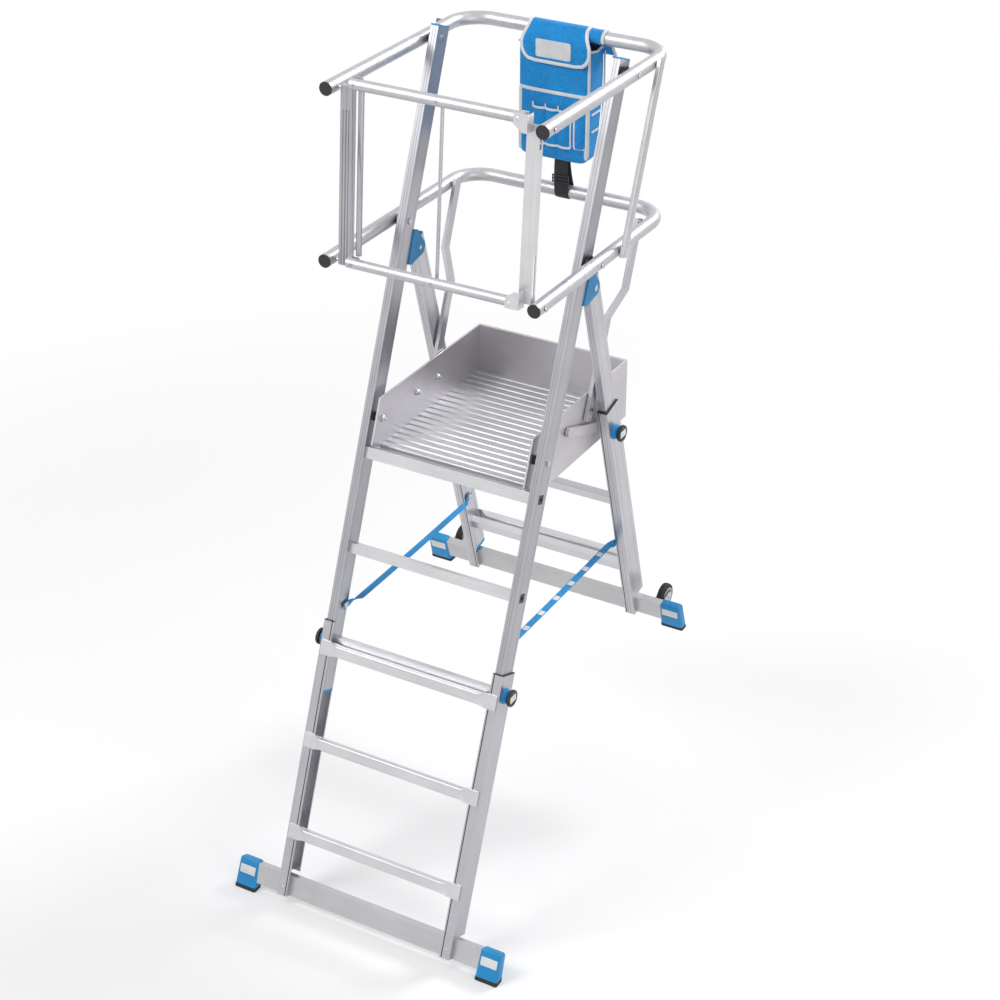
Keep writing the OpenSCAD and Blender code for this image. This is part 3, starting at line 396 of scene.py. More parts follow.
plastics = {
    "bluePlastic": ((0.002, 0.265, 0.60), 0.42, {"coat": 0.04},
                    "stile_top_caps stile_foot_plugs hinge_brackets front_shoes rear_shoes tool_bag "
                    "front_knob_housings rear_knob_housings rear_leg_plugs"),
    "blackPlastic": ((0.018, 0.018, 0.02), 0.42, {},
                     "lock_socket_plugs hoop_spacers front_edge_guides rear_edge_guides front_knob_ "
                     "rear_knob_ rear_socket_plugs upper_hoop_fittings lower_hoop_fittings"),
    "blackRubber": ((0.014, 0.014, 0.015), 0.68, {"grainScale": 420.0, "depth": 0.0003},
                    "front_soles rear_soles wheel_ bag_strap"),
    "barePlate": ((0.78, 0.80, 0.82), 0.3, {"grainScale": 300.0, "depth": 0.00005}, ""),
    "darkBlueRim": ((0.006, 0.10, 0.28), 0.4, {}, ""),
    "hubPlastic": ((0.52, 0.53, 0.55), 0.35, {}, "")}
strong = {"threads": 1500.0, "depth": 0.0003, "rough": 0.7}
cloths = {
    "bagCloth": ((0.003, 0.20, 0.66), (0.012, 0.43, 0.93), {}, ""),
    # The inside of the bag: the blue cloth darkened into painted shade
    "shadedBagInside": ((0.004, 0.02, 0.09), (0.01, 0.04, 0.16), {}, ""),
    "bindingTape": ((0.90, 0.90, 0.92), (0.97, 0.97, 0.97), {"threads": 1400.0, "depth": 0.0002}, ""),
    "blackTape": ((0.008, 0.008, 0.009), (0.02, 0.02, 0.022), strong, ""),
    "strapWebbing": ((0.004, 0.20, 0.58), (0.012, 0.40, 0.86), strong, ""),
    "strapBlocks": ((0.80, 0.83, 0.87), (0.93, 0.94, 0.95), strong, "")}
finish = {}
for table, make in ((metals, metalFinish), (plastics, plasticFinish), (cloths, clothFinish)):
    for key, (tone, second, more, names) in table.items():
        finish[key] = make(key, tone, second, **more)
        for name in names.split():
            for end in ("left", "right") if name.endswith("_") else ("",):
                nodes[name + end].data.materials.clear()
                nodes[name + end].data.materials.append(finish[key])
print("materials set")


# Shape helpers. A mesh has its poles and seams merged and its faces turned outwards
def meshFrom(name, verts, faces, mat, sharp=None):
    mesh = bpy.data.meshes.new(name)
    mesh.from_pydata(asarray(verts, float).reshape(-1, 3).tolist(), [], [tuple(map(int, f)) for f in faces])
    bm = bmesh.new()
    bm.from_mesh(mesh)
    bmesh.ops.remove_doubles(bm, verts=bm.verts, dist=0.00003)
    bmesh.ops.recalc_face_normals(bm, faces=bm.faces)
    bm.to_mesh(mesh)
    bm.free()
    mesh.shade_smooth()
    if sharp:
        mesh.set_sharp_from_angle(angle=math.radians(sharp))
    mesh.materials.append(finish[mat])
    obj = bpy.data.objects.new(name, mesh)
    bpy.context.scene.collection.objects.link(obj)
    return obj


# Faces of a grid of rows by columns, closed round in either direction when asked
def gridFaces(rows, cols, wrapRows=False, wrapCols=False):
    r = np.arange(rows if wrapRows else rows - 1)
    c = np.arange(cols if wrapCols else cols - 1)
    rr, cc = np.meshgrid(r, c, indexing="ij")
    rn, cn = (rr + 1) % rows, (cc + 1) % cols
    return stack([rr * cols + cc, rr * cols + cn, rn * cols + cn, rn * cols + cc], -1).reshape(-1, 4).tolist()


# Rings of points joined one after another into a tube, closed by a face at each end
def tube(rings):
    verts = asarray(rings, float)
    rows, cols = verts.shape[:2]
    caps = [list(range(cols))[::-1], list(range((rows - 1) * cols, rows * cols))]
    return verts.reshape(-1, 3), gridFaces(rows, cols, wrapCols=True) + caps


# Several meshes, each given as points and faces, put together as one
def joined(parts):
    verts, faces, n = [], [], 0
    for v, f in parts:
        v = asarray(v, float).reshape(-1, 3)
        verts.append(v)
        faces += [[i + n for i in face] for face in f]
        n += len(v)
    return concatenate(verts), faces


# A piece put together from parts, that rides on a body and may stand for a node
def addPiece(body, name, parts, mat, sharp=40, node=None):
    piece = meshFrom(name, *joined(parts), mat, sharp)
    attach(piece, body)
    if node:
        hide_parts(node)
    return piece


# A profile carried along a path: point = path(i) + profile(j).x * side(i) + profile(j).y * up(i)
def sweep(path, side, up, profile):
    side, up = (np.broadcast_to(asarray(v, float), path.shape)[:, None] for v in (side, up))
    return tube(path[:, None] + profile[:, :1] * side + profile[:, 1:2] * up)


# Each vector over its own length
def unit(v):
    return v / np.linalg.norm(v, axis=-1, keepdims=True)


# A smooth step: three times t squared less twice t cubed
def ease(t):
    return t * t * (3 - 2 * t)


# The size of v to a power, with the sign of v
def signed(v, power):
    return np.sign(v) * np.abs(v) ** power


# Angles once round, in equal steps
def around(n):
    return linspace(0, 2 * pi, n, endpoint=False)


# Profile of flat webbing: half its width times the signed power of the cosine, and its rise times the sine
def webbing(half, rise, power):
    return stack([half * signed(cos(around(12)), power), rise * sin(around(12))], 1)


# A rounded rectangle of half sizes a and b with corner radius r, as points in the plane
def roundRect(a, b, r, n=5):
    t = linspace(0, pi / 2, n)
    pts = []
    for k, (cx, cy) in enumerate([(a - r, b - r), (-a + r, b - r), (-a + r, -b + r), (a - r, -b + r)]):
        ang = t + k * pi / 2
        pts.append(stack([cx + r * cos(ang), cy + r * sin(ang)], 1))
    return concatenate(pts)


# A turned shape: (distance along the axis, radius) carried round the axis through centre
def turned(profile, centre, axis, n=40):
    profile = asarray(profile, float)
    axis = unit(asarray(axis, float))
    e1 = unit(cross(axis, zWay if abs(axis[2]) < 0.9 else yWay))
    e2 = cross(axis, e1)
    ring = cos(around(n))[:, None] * e1 + sin(around(n))[:, None] * e2
    verts = asarray(centre, float) + profile[:, None, :1] * axis + profile[:, None, 1:2] * ring[None]
    return verts.reshape(-1, 3), gridFaces(len(profile), n, wrapCols=True)


# A turned shape about the x axis with ribs: each step gives its x, its radius and its share of the rib height
def ribbed(centre, way, steps, ang, rib, wrapRows=False):
    rows = [stack([full(len(ang), centre[0] + way * a), centre[1] + (r - f * rib) * cos(ang),
                   centre[2] + (r - f * rib) * sin(ang)], 1) for a, r, f in steps]
    return concatenate(rows), gridFaces(len(rows), len(ang), wrapRows, True)


# Domed rivet or bolt head: radius times the cosine and height times the sine of the same angle
def dome(centre, axis, r, h, n=16, rings=5):
    t = linspace(0, pi / 2, rings)
    prof = stack([h * sin(t), np.maximum(r * cos(t), 1e-5)], 1)
    prof = concatenate([[[-0.0004, r]], prof])
    return turned(prof, centre, axis, n)


# Flat-sided bolt head with a washer under it
def hexHead(centre, axis, r, h, washer=1.35):
    rim = r * washer
    return joined([
        turned([(-0.0004, rim), (0.0012, rim), (0.0014, rim - 0.0006), (0.0014, 1e-5)], centre, axis, 24),
        turned([(0.001, r * 0.98), (h * 0.8, r), (h, r * 0.86), (h, 1e-5)], centre, axis, 6)])


# Box with rounded long edges, from its corner points in a frame of three directions
def plate(centre, dirs, half, r=0.002, n=4):
    e1, e2, e3 = (asarray(d, float) for d in dirs)
    prof = roundRect(half[0], half[1], min(r, min(half[:2]) * 0.98), n)
    c = asarray(centre, float)
    soft = min(half[2] * 0.5, 0.0006)
    insets = [(-half[2], soft), (-half[2] + soft, 0), (half[2] - soft, 0), (half[2], soft)]
    rows = [c + e3 * z + (prof[:, :1] * (1 - k / half[0])) * e1 + (prof[:, 1:2] * (1 - k / half[1])) * e2
            for z, k in insets]
    return tube(rows)


# Tool bag, in metres from the upper hoop pivot: across, back and up
bag0 = {"left": -0.134, "right": 0.089, "front": 0.190, "back": 0.290, "footBack": 0.248, "low": -0.366,
        "rim": -0.036, "corner": 0.030, "tube": (0.226, 0.0), "tubeR": 0.019, "rows": 60, "cols": 96,
        "wall": 0.003, "square": 9.0, "swell": 0.0045, "fold": 0.0011, "dip": 0.010}
upperPivot = jointAt("upper_guard_fold")


# Outline of the bag at height z, t from 0 to 1 round it: a rounded rectangle that narrows towards the
# floor; near the floor its half sizes shrink along a quarter circle of the corner radius
def bagRing(z, t, b=bag0, inset=0.0):
    k = clip((z - b["low"]) / (b["rim"] - b["low"]), 0, 1)
    back = b["footBack"] + (b["back"] - b["footBack"]) * sin(clip(k * 1.25, 0, 1) * pi / 2)
    rise = clip((z - b["low"]) / b["corner"], 0, 1)
    lift = np.sqrt(np.maximum(1 - (1 - rise) ** 2, 0))
    xMid, yMid = (b["left"] + b["right"]) / 2, (b["front"] + back) / 2
    a = (b["right"] - b["left"]) / 2 - b["corner"] * (1 - lift) - inset
    d = (back - b["front"]) / 2 - 0.010 * (1 - lift) - inset
    x = a * signed(cos(t * 2 * pi), 2 / b["square"])
    y = d * signed(sin(t * 2 * pi), 2 / b["square"])
    # The filled bag sags: its faces swell towards the lower third, with shallow folds across the cloth
    swell = b["swell"] * np.exp(-((k - 0.32) / 0.3) ** 2) * (1 - (x / a) ** 4)
    fold = b["fold"] * sin(34 * z + 9 * x + 1.3) * sin(21 * x - 12 * z) * (1 - (x / a) ** 6)
    y = y + np.sign(y) * (np.abs(y) / d) ** 3 * (swell + fold) * lift
    return stack([xMid + x, yMid + y, np.broadcast_to(z, x.shape)], -1)


# The side rims dip in a shallow V half way between the front and the back
def rimDip(y, b=bag0):
    return b["dip"] * clip(1 - np.abs(y - (b["front"] + b["back"]) / 2) / 0.05, 0, 1)


# A piece of the bag, from parts measured from the upper hoop pivot
def addBagPiece(name, parts, mat):
    return addPiece("upper_guard", name, [(upperPivot + v, f) for v, f in parts], mat, None)


def smoothPath(points, n):
    pts = asarray(points, float)
    seg = np.r_[0, np.cumsum(np.linalg.norm(np.diff(pts, axis=0), axis=1))]
    want = linspace(0, seg[-1], n)
    base = stack([np.interp(want, seg, pts[:, i]) for i in range(3)], 1)
    for _ in range(3):
        base[1:-1] = 0.25 * base[:-2] + 0.5 * base[1:-1] + 0.25 * base[2:]
    return base


# Binding tape: a flat pillow profile, w across and h out, carried along a path on the cloth
def tape(points, out, w, h, n=0):
    path = smoothPath(points, n) if n else asarray(points, float)
    tan = unit(np.gradient(path, axis=0))
    side = unit(cross(tan, out))
    return sweep(path, side, cross(side, tan), webbing(w / 2, h, 0.6))


def makeBag(b=bag0):
    t = linspace(0, 1, b["cols"], endpoint=False) + 0.5 / b["cols"]
    k = linspace(0, 1, b["rows"])
    zs = b["low"] + (b["rim"] - b["low"]) * (0.35 * k + 0.65 * k ** 1.6)
    rows = [bagRing(z, t) for z in zs]
    dip = rimDip(rows[-1][:, 1])
    for i in range(len(rows) - 8, len(rows)):
        rows[i][:, 2] -= dip * (i - len(rows) + 9) / 8
    inside = [bagRing(b["rim"], t, inset=b["wall"]), bagRing(b["rim"] - 0.07, t, inset=b["wall"] * 1.5)]
    inside[0][:, 2] -= dip
    verts, faces = tube([*rows, *inside])
    shell = addBagPiece("toolBag", [(verts, faces)], "bagCloth")
    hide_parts("tool_bag")
    # The inner wall and the inner floor take the darkened cloth, painted shade inside the opening
    shell.data.materials.append(finish["shadedBagInside"])
    index = np.zeros(len(faces), np.int32)
    index[b["rows"] * b["cols"]:(b["rows"] + 1) * b["cols"]] = 1
    index[-1] = 1
    shell.data.polygons.foreach_set("material_index", index)


# Directions square to a path that is given across and up, turned a quarter to its left
def squareTo(path):
    tan = unit(np.gradient(path, axis=0))
    return stack([-tan[:, 1], tan[:, 0]], 1)


# The cloth over the tube: a sheet with thickness whose path rises behind, turns over the tube and ends in
# front, with its left and right edge at each step of the path
def overTube(path, left, right, thick):
    u, nrm, sheets = linspace(0, 1, 25), squareTo(path), []
    for s in (0.5, -0.5):
        pt = path + nrm * thick * s
        x = left[:, None] + (right - left)[:, None] * u
        sheets.append(stack([x, np.repeat(pt[:, :1], len(u), 1), np.repeat(pt[:, 1:2], len(u), 1)], -1))
    return tube(concatenate([sheets[0], sheets[1][:, ::-1]], 1))


def tubeArc(r, a0, a1, n=26, b=bag0):
    ang = np.radians(linspace(a0, a1, n))
    return stack([b["tube"][0] + r * cos(ang), b["tube"][1] + r * sin(ang)], 1)


# Flap: over the tube from behind, down the front of the bag, with large round lower corners
flap0 = {"left": -0.109, "right": 0.076, "leftLow": -0.120, "rightLow": 0.096, "low": -0.082, "corner": 0.042,
         "tape": 0.0105, "tapeThick": 0.0028}


def makeFlap(f=flap0, b=bag0):
    front = b["front"] - 0.007
    down = array([[front + 0.012, 0.002], [front + 0.004, -0.010], [front + 0.001, -0.022]])
    drop = stack([full(22, front), linspace(-0.030, f["low"], 22)], 1)
    path = concatenate([tubeArc(b["tubeR"] + 0.0042, -25, 150), down, drop])
    path[1:-1] = 0.25 * path[:-2] + 0.5 * path[1:-1] + 0.25 * path[2:]
    s = ease(clip((b["tubeR"] - path[:, 1]) / 0.05, 0, 1) * (path[:, 0] < b["tube"][0]))
    left = f["left"] + (f["leftLow"] - f["left"]) * s
    right = f["right"] + (f["rightLow"] - f["right"]) * s
    # Round corners: the edge moves in by c - sqrt(c^2 - h^2), h the height left above the corner's start
    h = clip(f["corner"] - (path[:, 1] - f["low"]), 0, f["corner"] * 0.999)
    h[path[:, 0] > b["tube"][0] - 0.01] = 0
    bite = f["corner"] - np.sqrt(f["corner"] ** 2 - h ** 2)
    left, right = left + bite, right - bite
    addBagPiece("bagFlap", [overTube(path, left, right, 0.0026)], "bagCloth")
    # The tape wraps the raw edge, so its middle lies a little inside it
    edge = concatenate([np.column_stack([left, path]), np.column_stack([right, path])[::-1]])
    out = -np.column_stack([np.zeros(len(path)), squareTo(path)])
    pull = edge.copy()
    pull[:, 0] += 0.0028 * np.sign((left.mean() + right.mean()) / 2 - edge[:, 0])
    pull[:, 2] += 0.0022 * (np.abs(edge[:, 2] - f["low"]) < 0.004)
    rim = tape(pull, concatenate([out, out[::-1]]), f["tape"], f["tapeThick"])
    addBagPiece("bagFlapBinding", [rim], "bindingTape")


# Back panel above the rim, wrapped over the tube, with tape round the tube along its right end
wrap0 = {"left": -0.112, "right": 0.124, "tapeAt": 0.1215, "tape": 0.0095, "tapeThick": 0.0026}


def makeWrap(w=wrap0, b=bag0):
    arc = tubeArc(b["tubeR"] + 0.0022, 10, 205)
    rise = stack([linspace(b["back"] - 0.002, arc[0, 0] + 0.002, 12),
                  linspace(b["rim"] - 0.03, arc[0, 1] - 0.006, 12)], 1)
    path = concatenate([rise, arc])
    flat = np.zeros(len(path))
    addBagPiece("bagWrap", [overTube(path, flat + w["left"], flat + w["right"], 0.0022)], "bagCloth")
    line, out = (np.column_stack(pair) for pair in ([flat + w["tapeAt"], path], [flat, squareTo(path)]))
    rim = tape(line, out, w["tape"], w["tapeThick"])
    addBagPiece("bagWrapBinding", [rim], "bindingTape")


def frontLine(xs, z, off=0.001):
    ring = bagRing(z, linspace(0.5, 1.0, 400))
    order = np.argsort(ring[:, 0])
    y = np.interp(xs, ring[order, 0], ring[order, 1])
    return stack([xs, y - off, full(len(xs), z)], 1)


# Points one below another on the front of the bag
def frontColumn(x, zs, off=0.001):
    return array([frontLine(array([float(x)]), float(z), off)[0] for z in zs])


# Loops for tools, three half tubes side by side, and a pen pocket on the right
loops0 = {"left": -0.082, "pitch": 0.040, "count": 3, "top": -0.214, "low": -0.319, "out": 0.0085,
          "tape": 0.0014}
pen0 = {"left": 0.050, "right": 0.083, "top": -0.206, "low": -0.317, "out": 0.006}


def makeBagTrim(b=bag0, loops=loops0, pen=pen0):
    parts = []

    # One tape on the bag: its points, its width and its thickness, and the way it faces
    def bind(points, wide, thick, out=(0, -1.0, 0), n=None):
        parts.append(tape(points, out, wide, thick, len(points) if n is None else n))

    # How far the cloth of a pocket stands out: the 0.7th power of the sine across it
    def bulge(u, out):
        return stack([0 * u, np.abs(sin(pi * u)) ** 0.7 * out, 0 * u], 1)

    # Hem of the large pocket and the strips down its two sides
    bind(frontLine(linspace(b["left"] + 0.006, b["right"] - 0.002, 40), -0.166), 0.0105, 0.0016)
    for x in (b["left"] + 0.0085, b["right"] - 0.006):
        bind(frontColumn(x, linspace(-0.170, -0.350, 40)), 0.0098, 0.0016)
    # Right side: front and rear edges, the V of the rim, and two short hems
    edge = [bagRing(z, array([0.995]))[0] for z in linspace(-0.045, -0.345, 40)]
    bind([[e[0] - 0.001, b["front"] + 0.006, e[2]] for e in edge], 0.008, 0.0018, (0.7, -0.7, 0))
    zs = linspace(-0.022, -0.345, 50)
    right = array([bagRing(z, array([0.0]))[0, 0] for z in np.maximum(zs, -0.3)])
    back = array([bagRing(z, array([0.25]))[0, 1] for z in np.minimum(zs, b["rim"])])
    x = np.where(zs > b["rim"], 0.098, right + 0.001)
    bind(stack([x, back - 0.005, zs], 1), 0.012, 0.0026, (0.8, 0.55, 0))
    y = linspace(b["front"] + 0.008, b["back"] - 0.008, 30)
    for x in (b["right"], b["left"]):
        bind(stack([0 * y + x, y, b["rim"] - rimDip(y) + 0.0005], 1), 0.007, 0.0024, (np.sign(x), 0, 0.25))
    y = linspace(0.212, 0.262, 16)
    for z in (-0.222, -0.273):
        bind(stack([0 * y + b["right"] + 0.001, y, 0 * y + z], 1), 0.007, 0.0014, (1.0, 0, 0))
    # The loops are hemmed along the top and the foot, down their ends and between them
    u = linspace(0, loops["count"], 73)
    x = loops["left"] + loops["pitch"] * u
    top, low, thick = loops["top"], loops["low"], loops["tape"]
    bind(frontLine(x, top) - bulge(u, loops["out"]), 0.0075, thick, n=0)
    bind(frontLine(x, low) - bulge(u, loops["out"] * 0.8), 0.0075, thick, n=0)
    for xe, foot, n, wide in ((x[0], top - 0.004, 20, 0.006), (x[-1], low, 20, 0.006), (x[24], top, 6, 0.004),
                              (x[48], top, 6, 0.004)):
        bind(frontColumn(xe, linspace(top + 0.012, foot, n), 0.0015), wide, thick)
    xs = linspace(pen["left"], pen["right"], 14)
    side = frontColumn(pen["left"], linspace(pen["top"], pen["low"], 24), 0.0015)
    bind(concatenate([side, frontLine(xs, pen["low"], 0.003)[1:]]), 0.0065, thick, n=48)
    bind(frontLine(xs, pen["top"], 0.005), 0.0065, thick)
    addBagPiece("bagBinding", parts, "bindingTape")

    # Cloth of the loops, drawn in a little towards the foot, and of the pen pocket
    cloth = []
    v = linspace(0, 1, 17)
    xPen = pen["left"] + (pen["right"] - pen["left"]) * v
    for at, share, p, less in ((x, u, loops, 0.15), (xPen, v, pen, 0)):
        grid = [frontLine(at, z) - bulge(share, p["out"] * (1 - less * i / 11))
                for i, z in enumerate(linspace(p["top"], p["low"], 12))]
        cloth.append((concatenate(grid), gridFaces(12, len(at))))
    addBagPiece("bagPockets", cloth, "bagCloth")


makeBag()
makeFlap()
makeWrap()
makeBagTrim()
# Bare plate sewn on the flap
blank = plate(upperPivot + (-0.017, bag0["front"] - 0.0095, -0.042), (xWay, zWay, -yWay),
              (0.055, 0.0255, 0.0012), 0.006)
addPiece("upper_guard", "bagPlate", [blank], "barePlate")
print("tool bag made")

# Bare name plates, and the pieces that stand on the ground
shoe0 = {"corner": 0.005, "crown": 0.0085, "inset": 0.0007, "rows": 9, "label": (0.0265, 0.0135),
         "labelUp": 0.030, "labelRise": 0.0011, "rim": 0.0012}


# Ring of a shoe: a rounded rectangle across and in depth, its half widths worked out from the outline at
# the top and at the foot, drawn in near the crown by r - sqrt(r^2 - h^2)
def shoePart(local, feet, leaning, planes, s=shoe0, inset=0.0):
    zero, inward, upward = leaning

    # How far up the frame a level plane at height z lies, at the depth d
    def levelAt(z, d):
        return (z - zero[2] - inward[2] * d) / upward[2]

    top = local[local[:, 2] > local[:, 2].max() - 0.0005]
    foot = feet[feet[:, 2] < feet[:, 2].min() + 0.02]
    uTop, uFoot = local[:, 2].max(), foot[:, 2].mean()
    (low0, high0), (low1, high1) = ends(foot[:, 0]), ends(top[:, 0])
    d0, d1 = ends(local[:, 1])
    mid = (d0 + d1) / 2
    rows = []
    # A plane is level at a height, or else a line across the frame at u; its pull draws the ring in
    for isLevel, value, pull in planes:
        k = ((levelAt(value, mid) if isLevel else value) - uFoot) / (uTop - uFoot)
        x0, x1 = low0 + (low1 - low0) * k + inset + pull, high0 + (high1 - high0) * k - inset - pull
        a, b = (x1 - x0) / 2, (d1 - d0) / 2 - inset - pull
        ring = roundRect(a, b, min(s["corner"], b * 0.9), 5)
        d = mid + ring[:, 1]
        u = levelAt(value, d) if isLevel else full(len(d), value)
        rows.append(stack([(x0 + x1) / 2 + ring[:, 0], d, u], 1))
    return tube(fromLeaning(rows, leaning))


def makeShoes(word, leaning, above, body, s=shoe0):
    shoeNode, soleNode = word + "_shoes", word + "_soles"
    barTop = reachOf(word + "_stabiliser_bar", leaning)[:, 2].max() + above
    shells, soles, labels, rims = [], [], [], []
    for side in (-1, 1):
        local, feet = reachOf(shoeNode, leaning, side), reachOf(soleNode, leaning, side)
        zShoe, zLow = (fromLeaning(p, leaning)[:, 2].min() for p in (local, feet))
        uTop = local[:, 2].max()
        crown = [(False, uTop - s["crown"] * (1 - sin(t)), s["crown"] * (1 - cos(t)) + 1e-5)
                 for t in linspace(0, pi / 2, 9)]
        mids = [(False, u, 0.0) for u in linspace(uTop - 0.075, uTop - s["crown"] - 0.004, s["rows"])]
        base = [(True, zShoe, 0.0), (True, zShoe + 0.002, 0.0)]
        shells.append(shoePart(local, feet, leaning, base + mids + crown, inset=s["inset"]))
        soles.append(shoePart(local, feet, leaning, [
            (True, zLow, 0.0015), (True, zLow + 0.0012, 0.0002), (True, zShoe - 0.0012, 0.0),
            (True, zShoe + 0.0002, 0.0008)]))
        x = sum(ends(local[:, 0])) / 2
        face = local[:, 1].min() + s["inset"] - s["labelRise"] / 2 + 0.0004
        at = fromLeaning([x, face, barTop - s["labelUp"]], leaning)
        dirs = (xWay, leaning[2], leaning[1])
        labels.append(plate(at, dirs, (*s["label"], s["labelRise"] / 2), 0.0022))
        rim = (s["label"][0] + s["rim"], s["label"][1] + s["rim"], s["labelRise"] / 2)
        rims.append(plate(at + leaning[1] * 0.00035, dirs, rim, 0.003))
    addPiece(body, shoeNode + "_moulded", shells, "bluePlastic", 50, shoeNode)
    addPiece(body, soleNode + "_moulded", soles, "blackRubber", 50, soleNode)
    addPiece(body, shoeNode + "_plates", labels, "barePlate")
    addPiece(body, shoeNode + "_plate_rims", rims, "darkBlueRim")


makeShoes("front", frontLeaning, 0.0, "front_section")
makeShoes("rear", legLeaning, 0.008, "rear_section")
print("shoes made")

# Rungs outside the sliding sections, their ends pressed flat
rung0 = {"half": 0.0225, "flat": 0.0022, "press": 0.030, "steps": 15, "lag": 0.012, "middle": 0.24,
         "flange": 0.028, "square": 0.22}


# Section of a rung at x: a rounded rectangle whose depth shrinks and whose height grows towards the end.
# The middle of its height gives way first, so ridges run out along the top and the foot
def makeRungs(node, leaning, body, r=rung0):
    local = reachOf(node, leaning)
    tubes = local[np.abs(local[:, 0]) < r["middle"]]
    ups = np.sort(tubes[:, 2])
    dFront, dRear = ends(tubes[:, 1])
    xEnd = local[:, 0].max()
    xPress = xEnd - r["flange"] - r["press"]
    dPlate = sum(ends(local[np.abs(local[:, 0]) > xEnd - 0.0005][:, 1])) / 2
    half = np.r_[linspace(0, xPress, 6)[:-1], linspace(xPress, xPress + r["press"] + 0.004, r["steps"]),
                 xEnd - 0.0006, xEnd]
    xs = np.r_[-half[:0:-1], half][:, None]
    ang = around(56) + 0.01
    pd, pu = signed(cos(ang), r["square"]), signed(sin(ang), r["square"])
    lag = r["lag"] * np.abs(pu) ** 2 - r["lag"] * 0.6
    w = ease(clip((np.abs(xs) - xPress - lag) / (r["press"] - r["lag"] * 0.4), 0, 1))
    wide = ease(clip((np.abs(xs) - xPress) / r["press"], 0, 1))
    hd = (dRear - dFront) / 2 * (1 - w) + r["flat"] * w
    cd = (dRear + dFront) / 2 * (1 - w) + dPlate * w
    tip = np.where(np.abs(xs) > xEnd - 0.0003, 0.0006, 0.0)
    parts = []
    for g in np.split(ups, np.where(np.diff(ups) > 0.1)[0] + 1):
        low, high = ends(g)
        mid, hu = (low + high) / 2, (high - low) / 2 * (1 - wide) + r["half"] * wide
        rings = stack([np.broadcast_to(xs, w.shape), cd + pd * (hd - tip), mid + pu * (hu - tip)], -1)
        parts.append(tube(fromLeaning(rings, leaning)))
    addPiece(body, node + "_pressed", parts, "rungAluminium", 35, node)


makeRungs("lower_rungs", frontLeaning, "front_section")
makeRungs("rear_lower_rung", legLeaning, "rear_section")
print("rungs made")

# Lock knobs: a disc with a ribbed rim and a bare plate, on a plain pin
knob0 = {"ribs": 28, "bite": 0.0011, "disc": 0.010, "pin": 0.005, "plate": (0.0165, 0.0100, 0.0005)}


def makeKnob(node, body, k=knob0):
    middle, half = boxOf(node)[2:]
    side, R = np.sign(middle[0]), half[2]
    root, face = middle[0] - side * half[0], middle[0] + side * half[0]
    ang = around(k["ribs"] * 6)
    rib = k["bite"] * (0.5 - 0.5 * cos(k["ribs"] * ang)) ** 2
    steps = [(-k["disc"], 0.006, 0), (-k["disc"], R - 0.0025, 0), (-k["disc"] + 0.0015, R - 0.0002, 1),
             (-0.0022, R - 0.0002, 1), (-0.0005, R - 0.0018, 0.3), (0.0, R - 0.0032, 0),
             (-0.0002, R - 0.0055, 0), (-0.0014, R - 0.0068, 0), (-0.0014, 0.00001, 0)]
    disc = ribbed((face, *middle[1:]), side, steps, ang, rib)
    addPiece(body, node + "_disc", [disc], "blackPlastic", node=node)
    # The pin ends in a small cone inside the stile
    length = 2 * half[0] - k["disc"]
    pin = turned([(0, 0.0001), (0, k["pin"] - 0.0008), (0.0008, k["pin"] - 0.00002),
                  (length, k["pin"] - 0.00002), (length, 0.0001)], (root, *middle[1:]), side * xWay, 24)
    addPiece(body, node + "_pin", [pin], "zincSteel")
    blank = plate((face - side * 0.0012, *middle[1:]), (side * yWay, zWay, side * xWay), k["plate"], 0.003)
    addPiece(body, node + "_plate", [blank], "barePlate")


bodyOf = {n: b for b, ns in frame["record"]["behaviour"]["bodies"].items() for n in ns}
for name in ("front_knob_left", "front_knob_right", "rear_knob_left", "rear_knob_right"):
    makeKnob(name, bodyOf[name])
print("knobs made")

# Black strip in the groove of each sliding section's front flange, and the edge it shows: painted shade that
# darkens the groove
grooveShadeStrip0 = {"from": 0.0041, "to": 0.0069, "sunk": 0.0003, "deep": 0.0018}


def makeGrooveShadeStrips(prefix, leaning, body, s=grooveShadeStrip0):
    parts = []
    for side, word in ((-1, "left"), (1, "right")):
        p = reachOf(prefix + word, leaning)
        u0, u1 = p[:, 2].min() + 0.0006, p[:, 2].max() - 0.0002
        d = p[:, 1].min() + s["sunk"] + s["deep"] / 2
        x = side * (np.abs(p[:, 0]).min() + (s["from"] + s["to"]) / 2)
        parts.append(plate(fromLeaning([x, d, (u0 + u1) / 2], leaning), (xWay, *leaning[1:]),
                           ((s["to"] - s["from"]) / 2, s["deep"] / 2, (u1 - u0) / 2), 0.0004, 3))
    # The strips are painted shade in the flange grooves
    addPiece(body, prefix + "guides", parts, "blackPlastic")


# One rivet at the foot of each front flange
rivet0 = {"across": 0.0165, "up": 0.026, "radius": 0.0048, "height": 0.0016}


def makeRivets(r=rivet0):
    heads = []
    for side, word in ((-1, "left"), (1, "right")):
        p = reachOf("lower_stile_" + word, frontLeaning)
        x = side * (np.abs(p[:, 0]).min() + r["across"])
        at = fromLeaning([x, p[:, 1].min(), p[:, 2].min() + r["up"]], frontLeaning)
        heads.append(dome(at, -frontIn, r["radius"], r["height"], 20))
    addPiece("front_section", "flange_rivets", heads, "zincSteel")


makeRivets()
makeGrooveShadeStrips("lower_stile_", frontLeaning, "front_section")
makeGrooveShadeStrips("rear_lower_leg_", legLeaning, "rear_section")
print("rivets and guide strips made")

# Platform: a ribbed tread, low webs under it, and bolt ends inside the boards
platformPivot = jointAt("platform_fold")
deck0 = {"pitch": 0.0295, "groove": 0.0095, "deep": 0.0042, "skin": 0.0018, "flange": 0.003, "web": 0.0012,
         "edge": 0.0015}


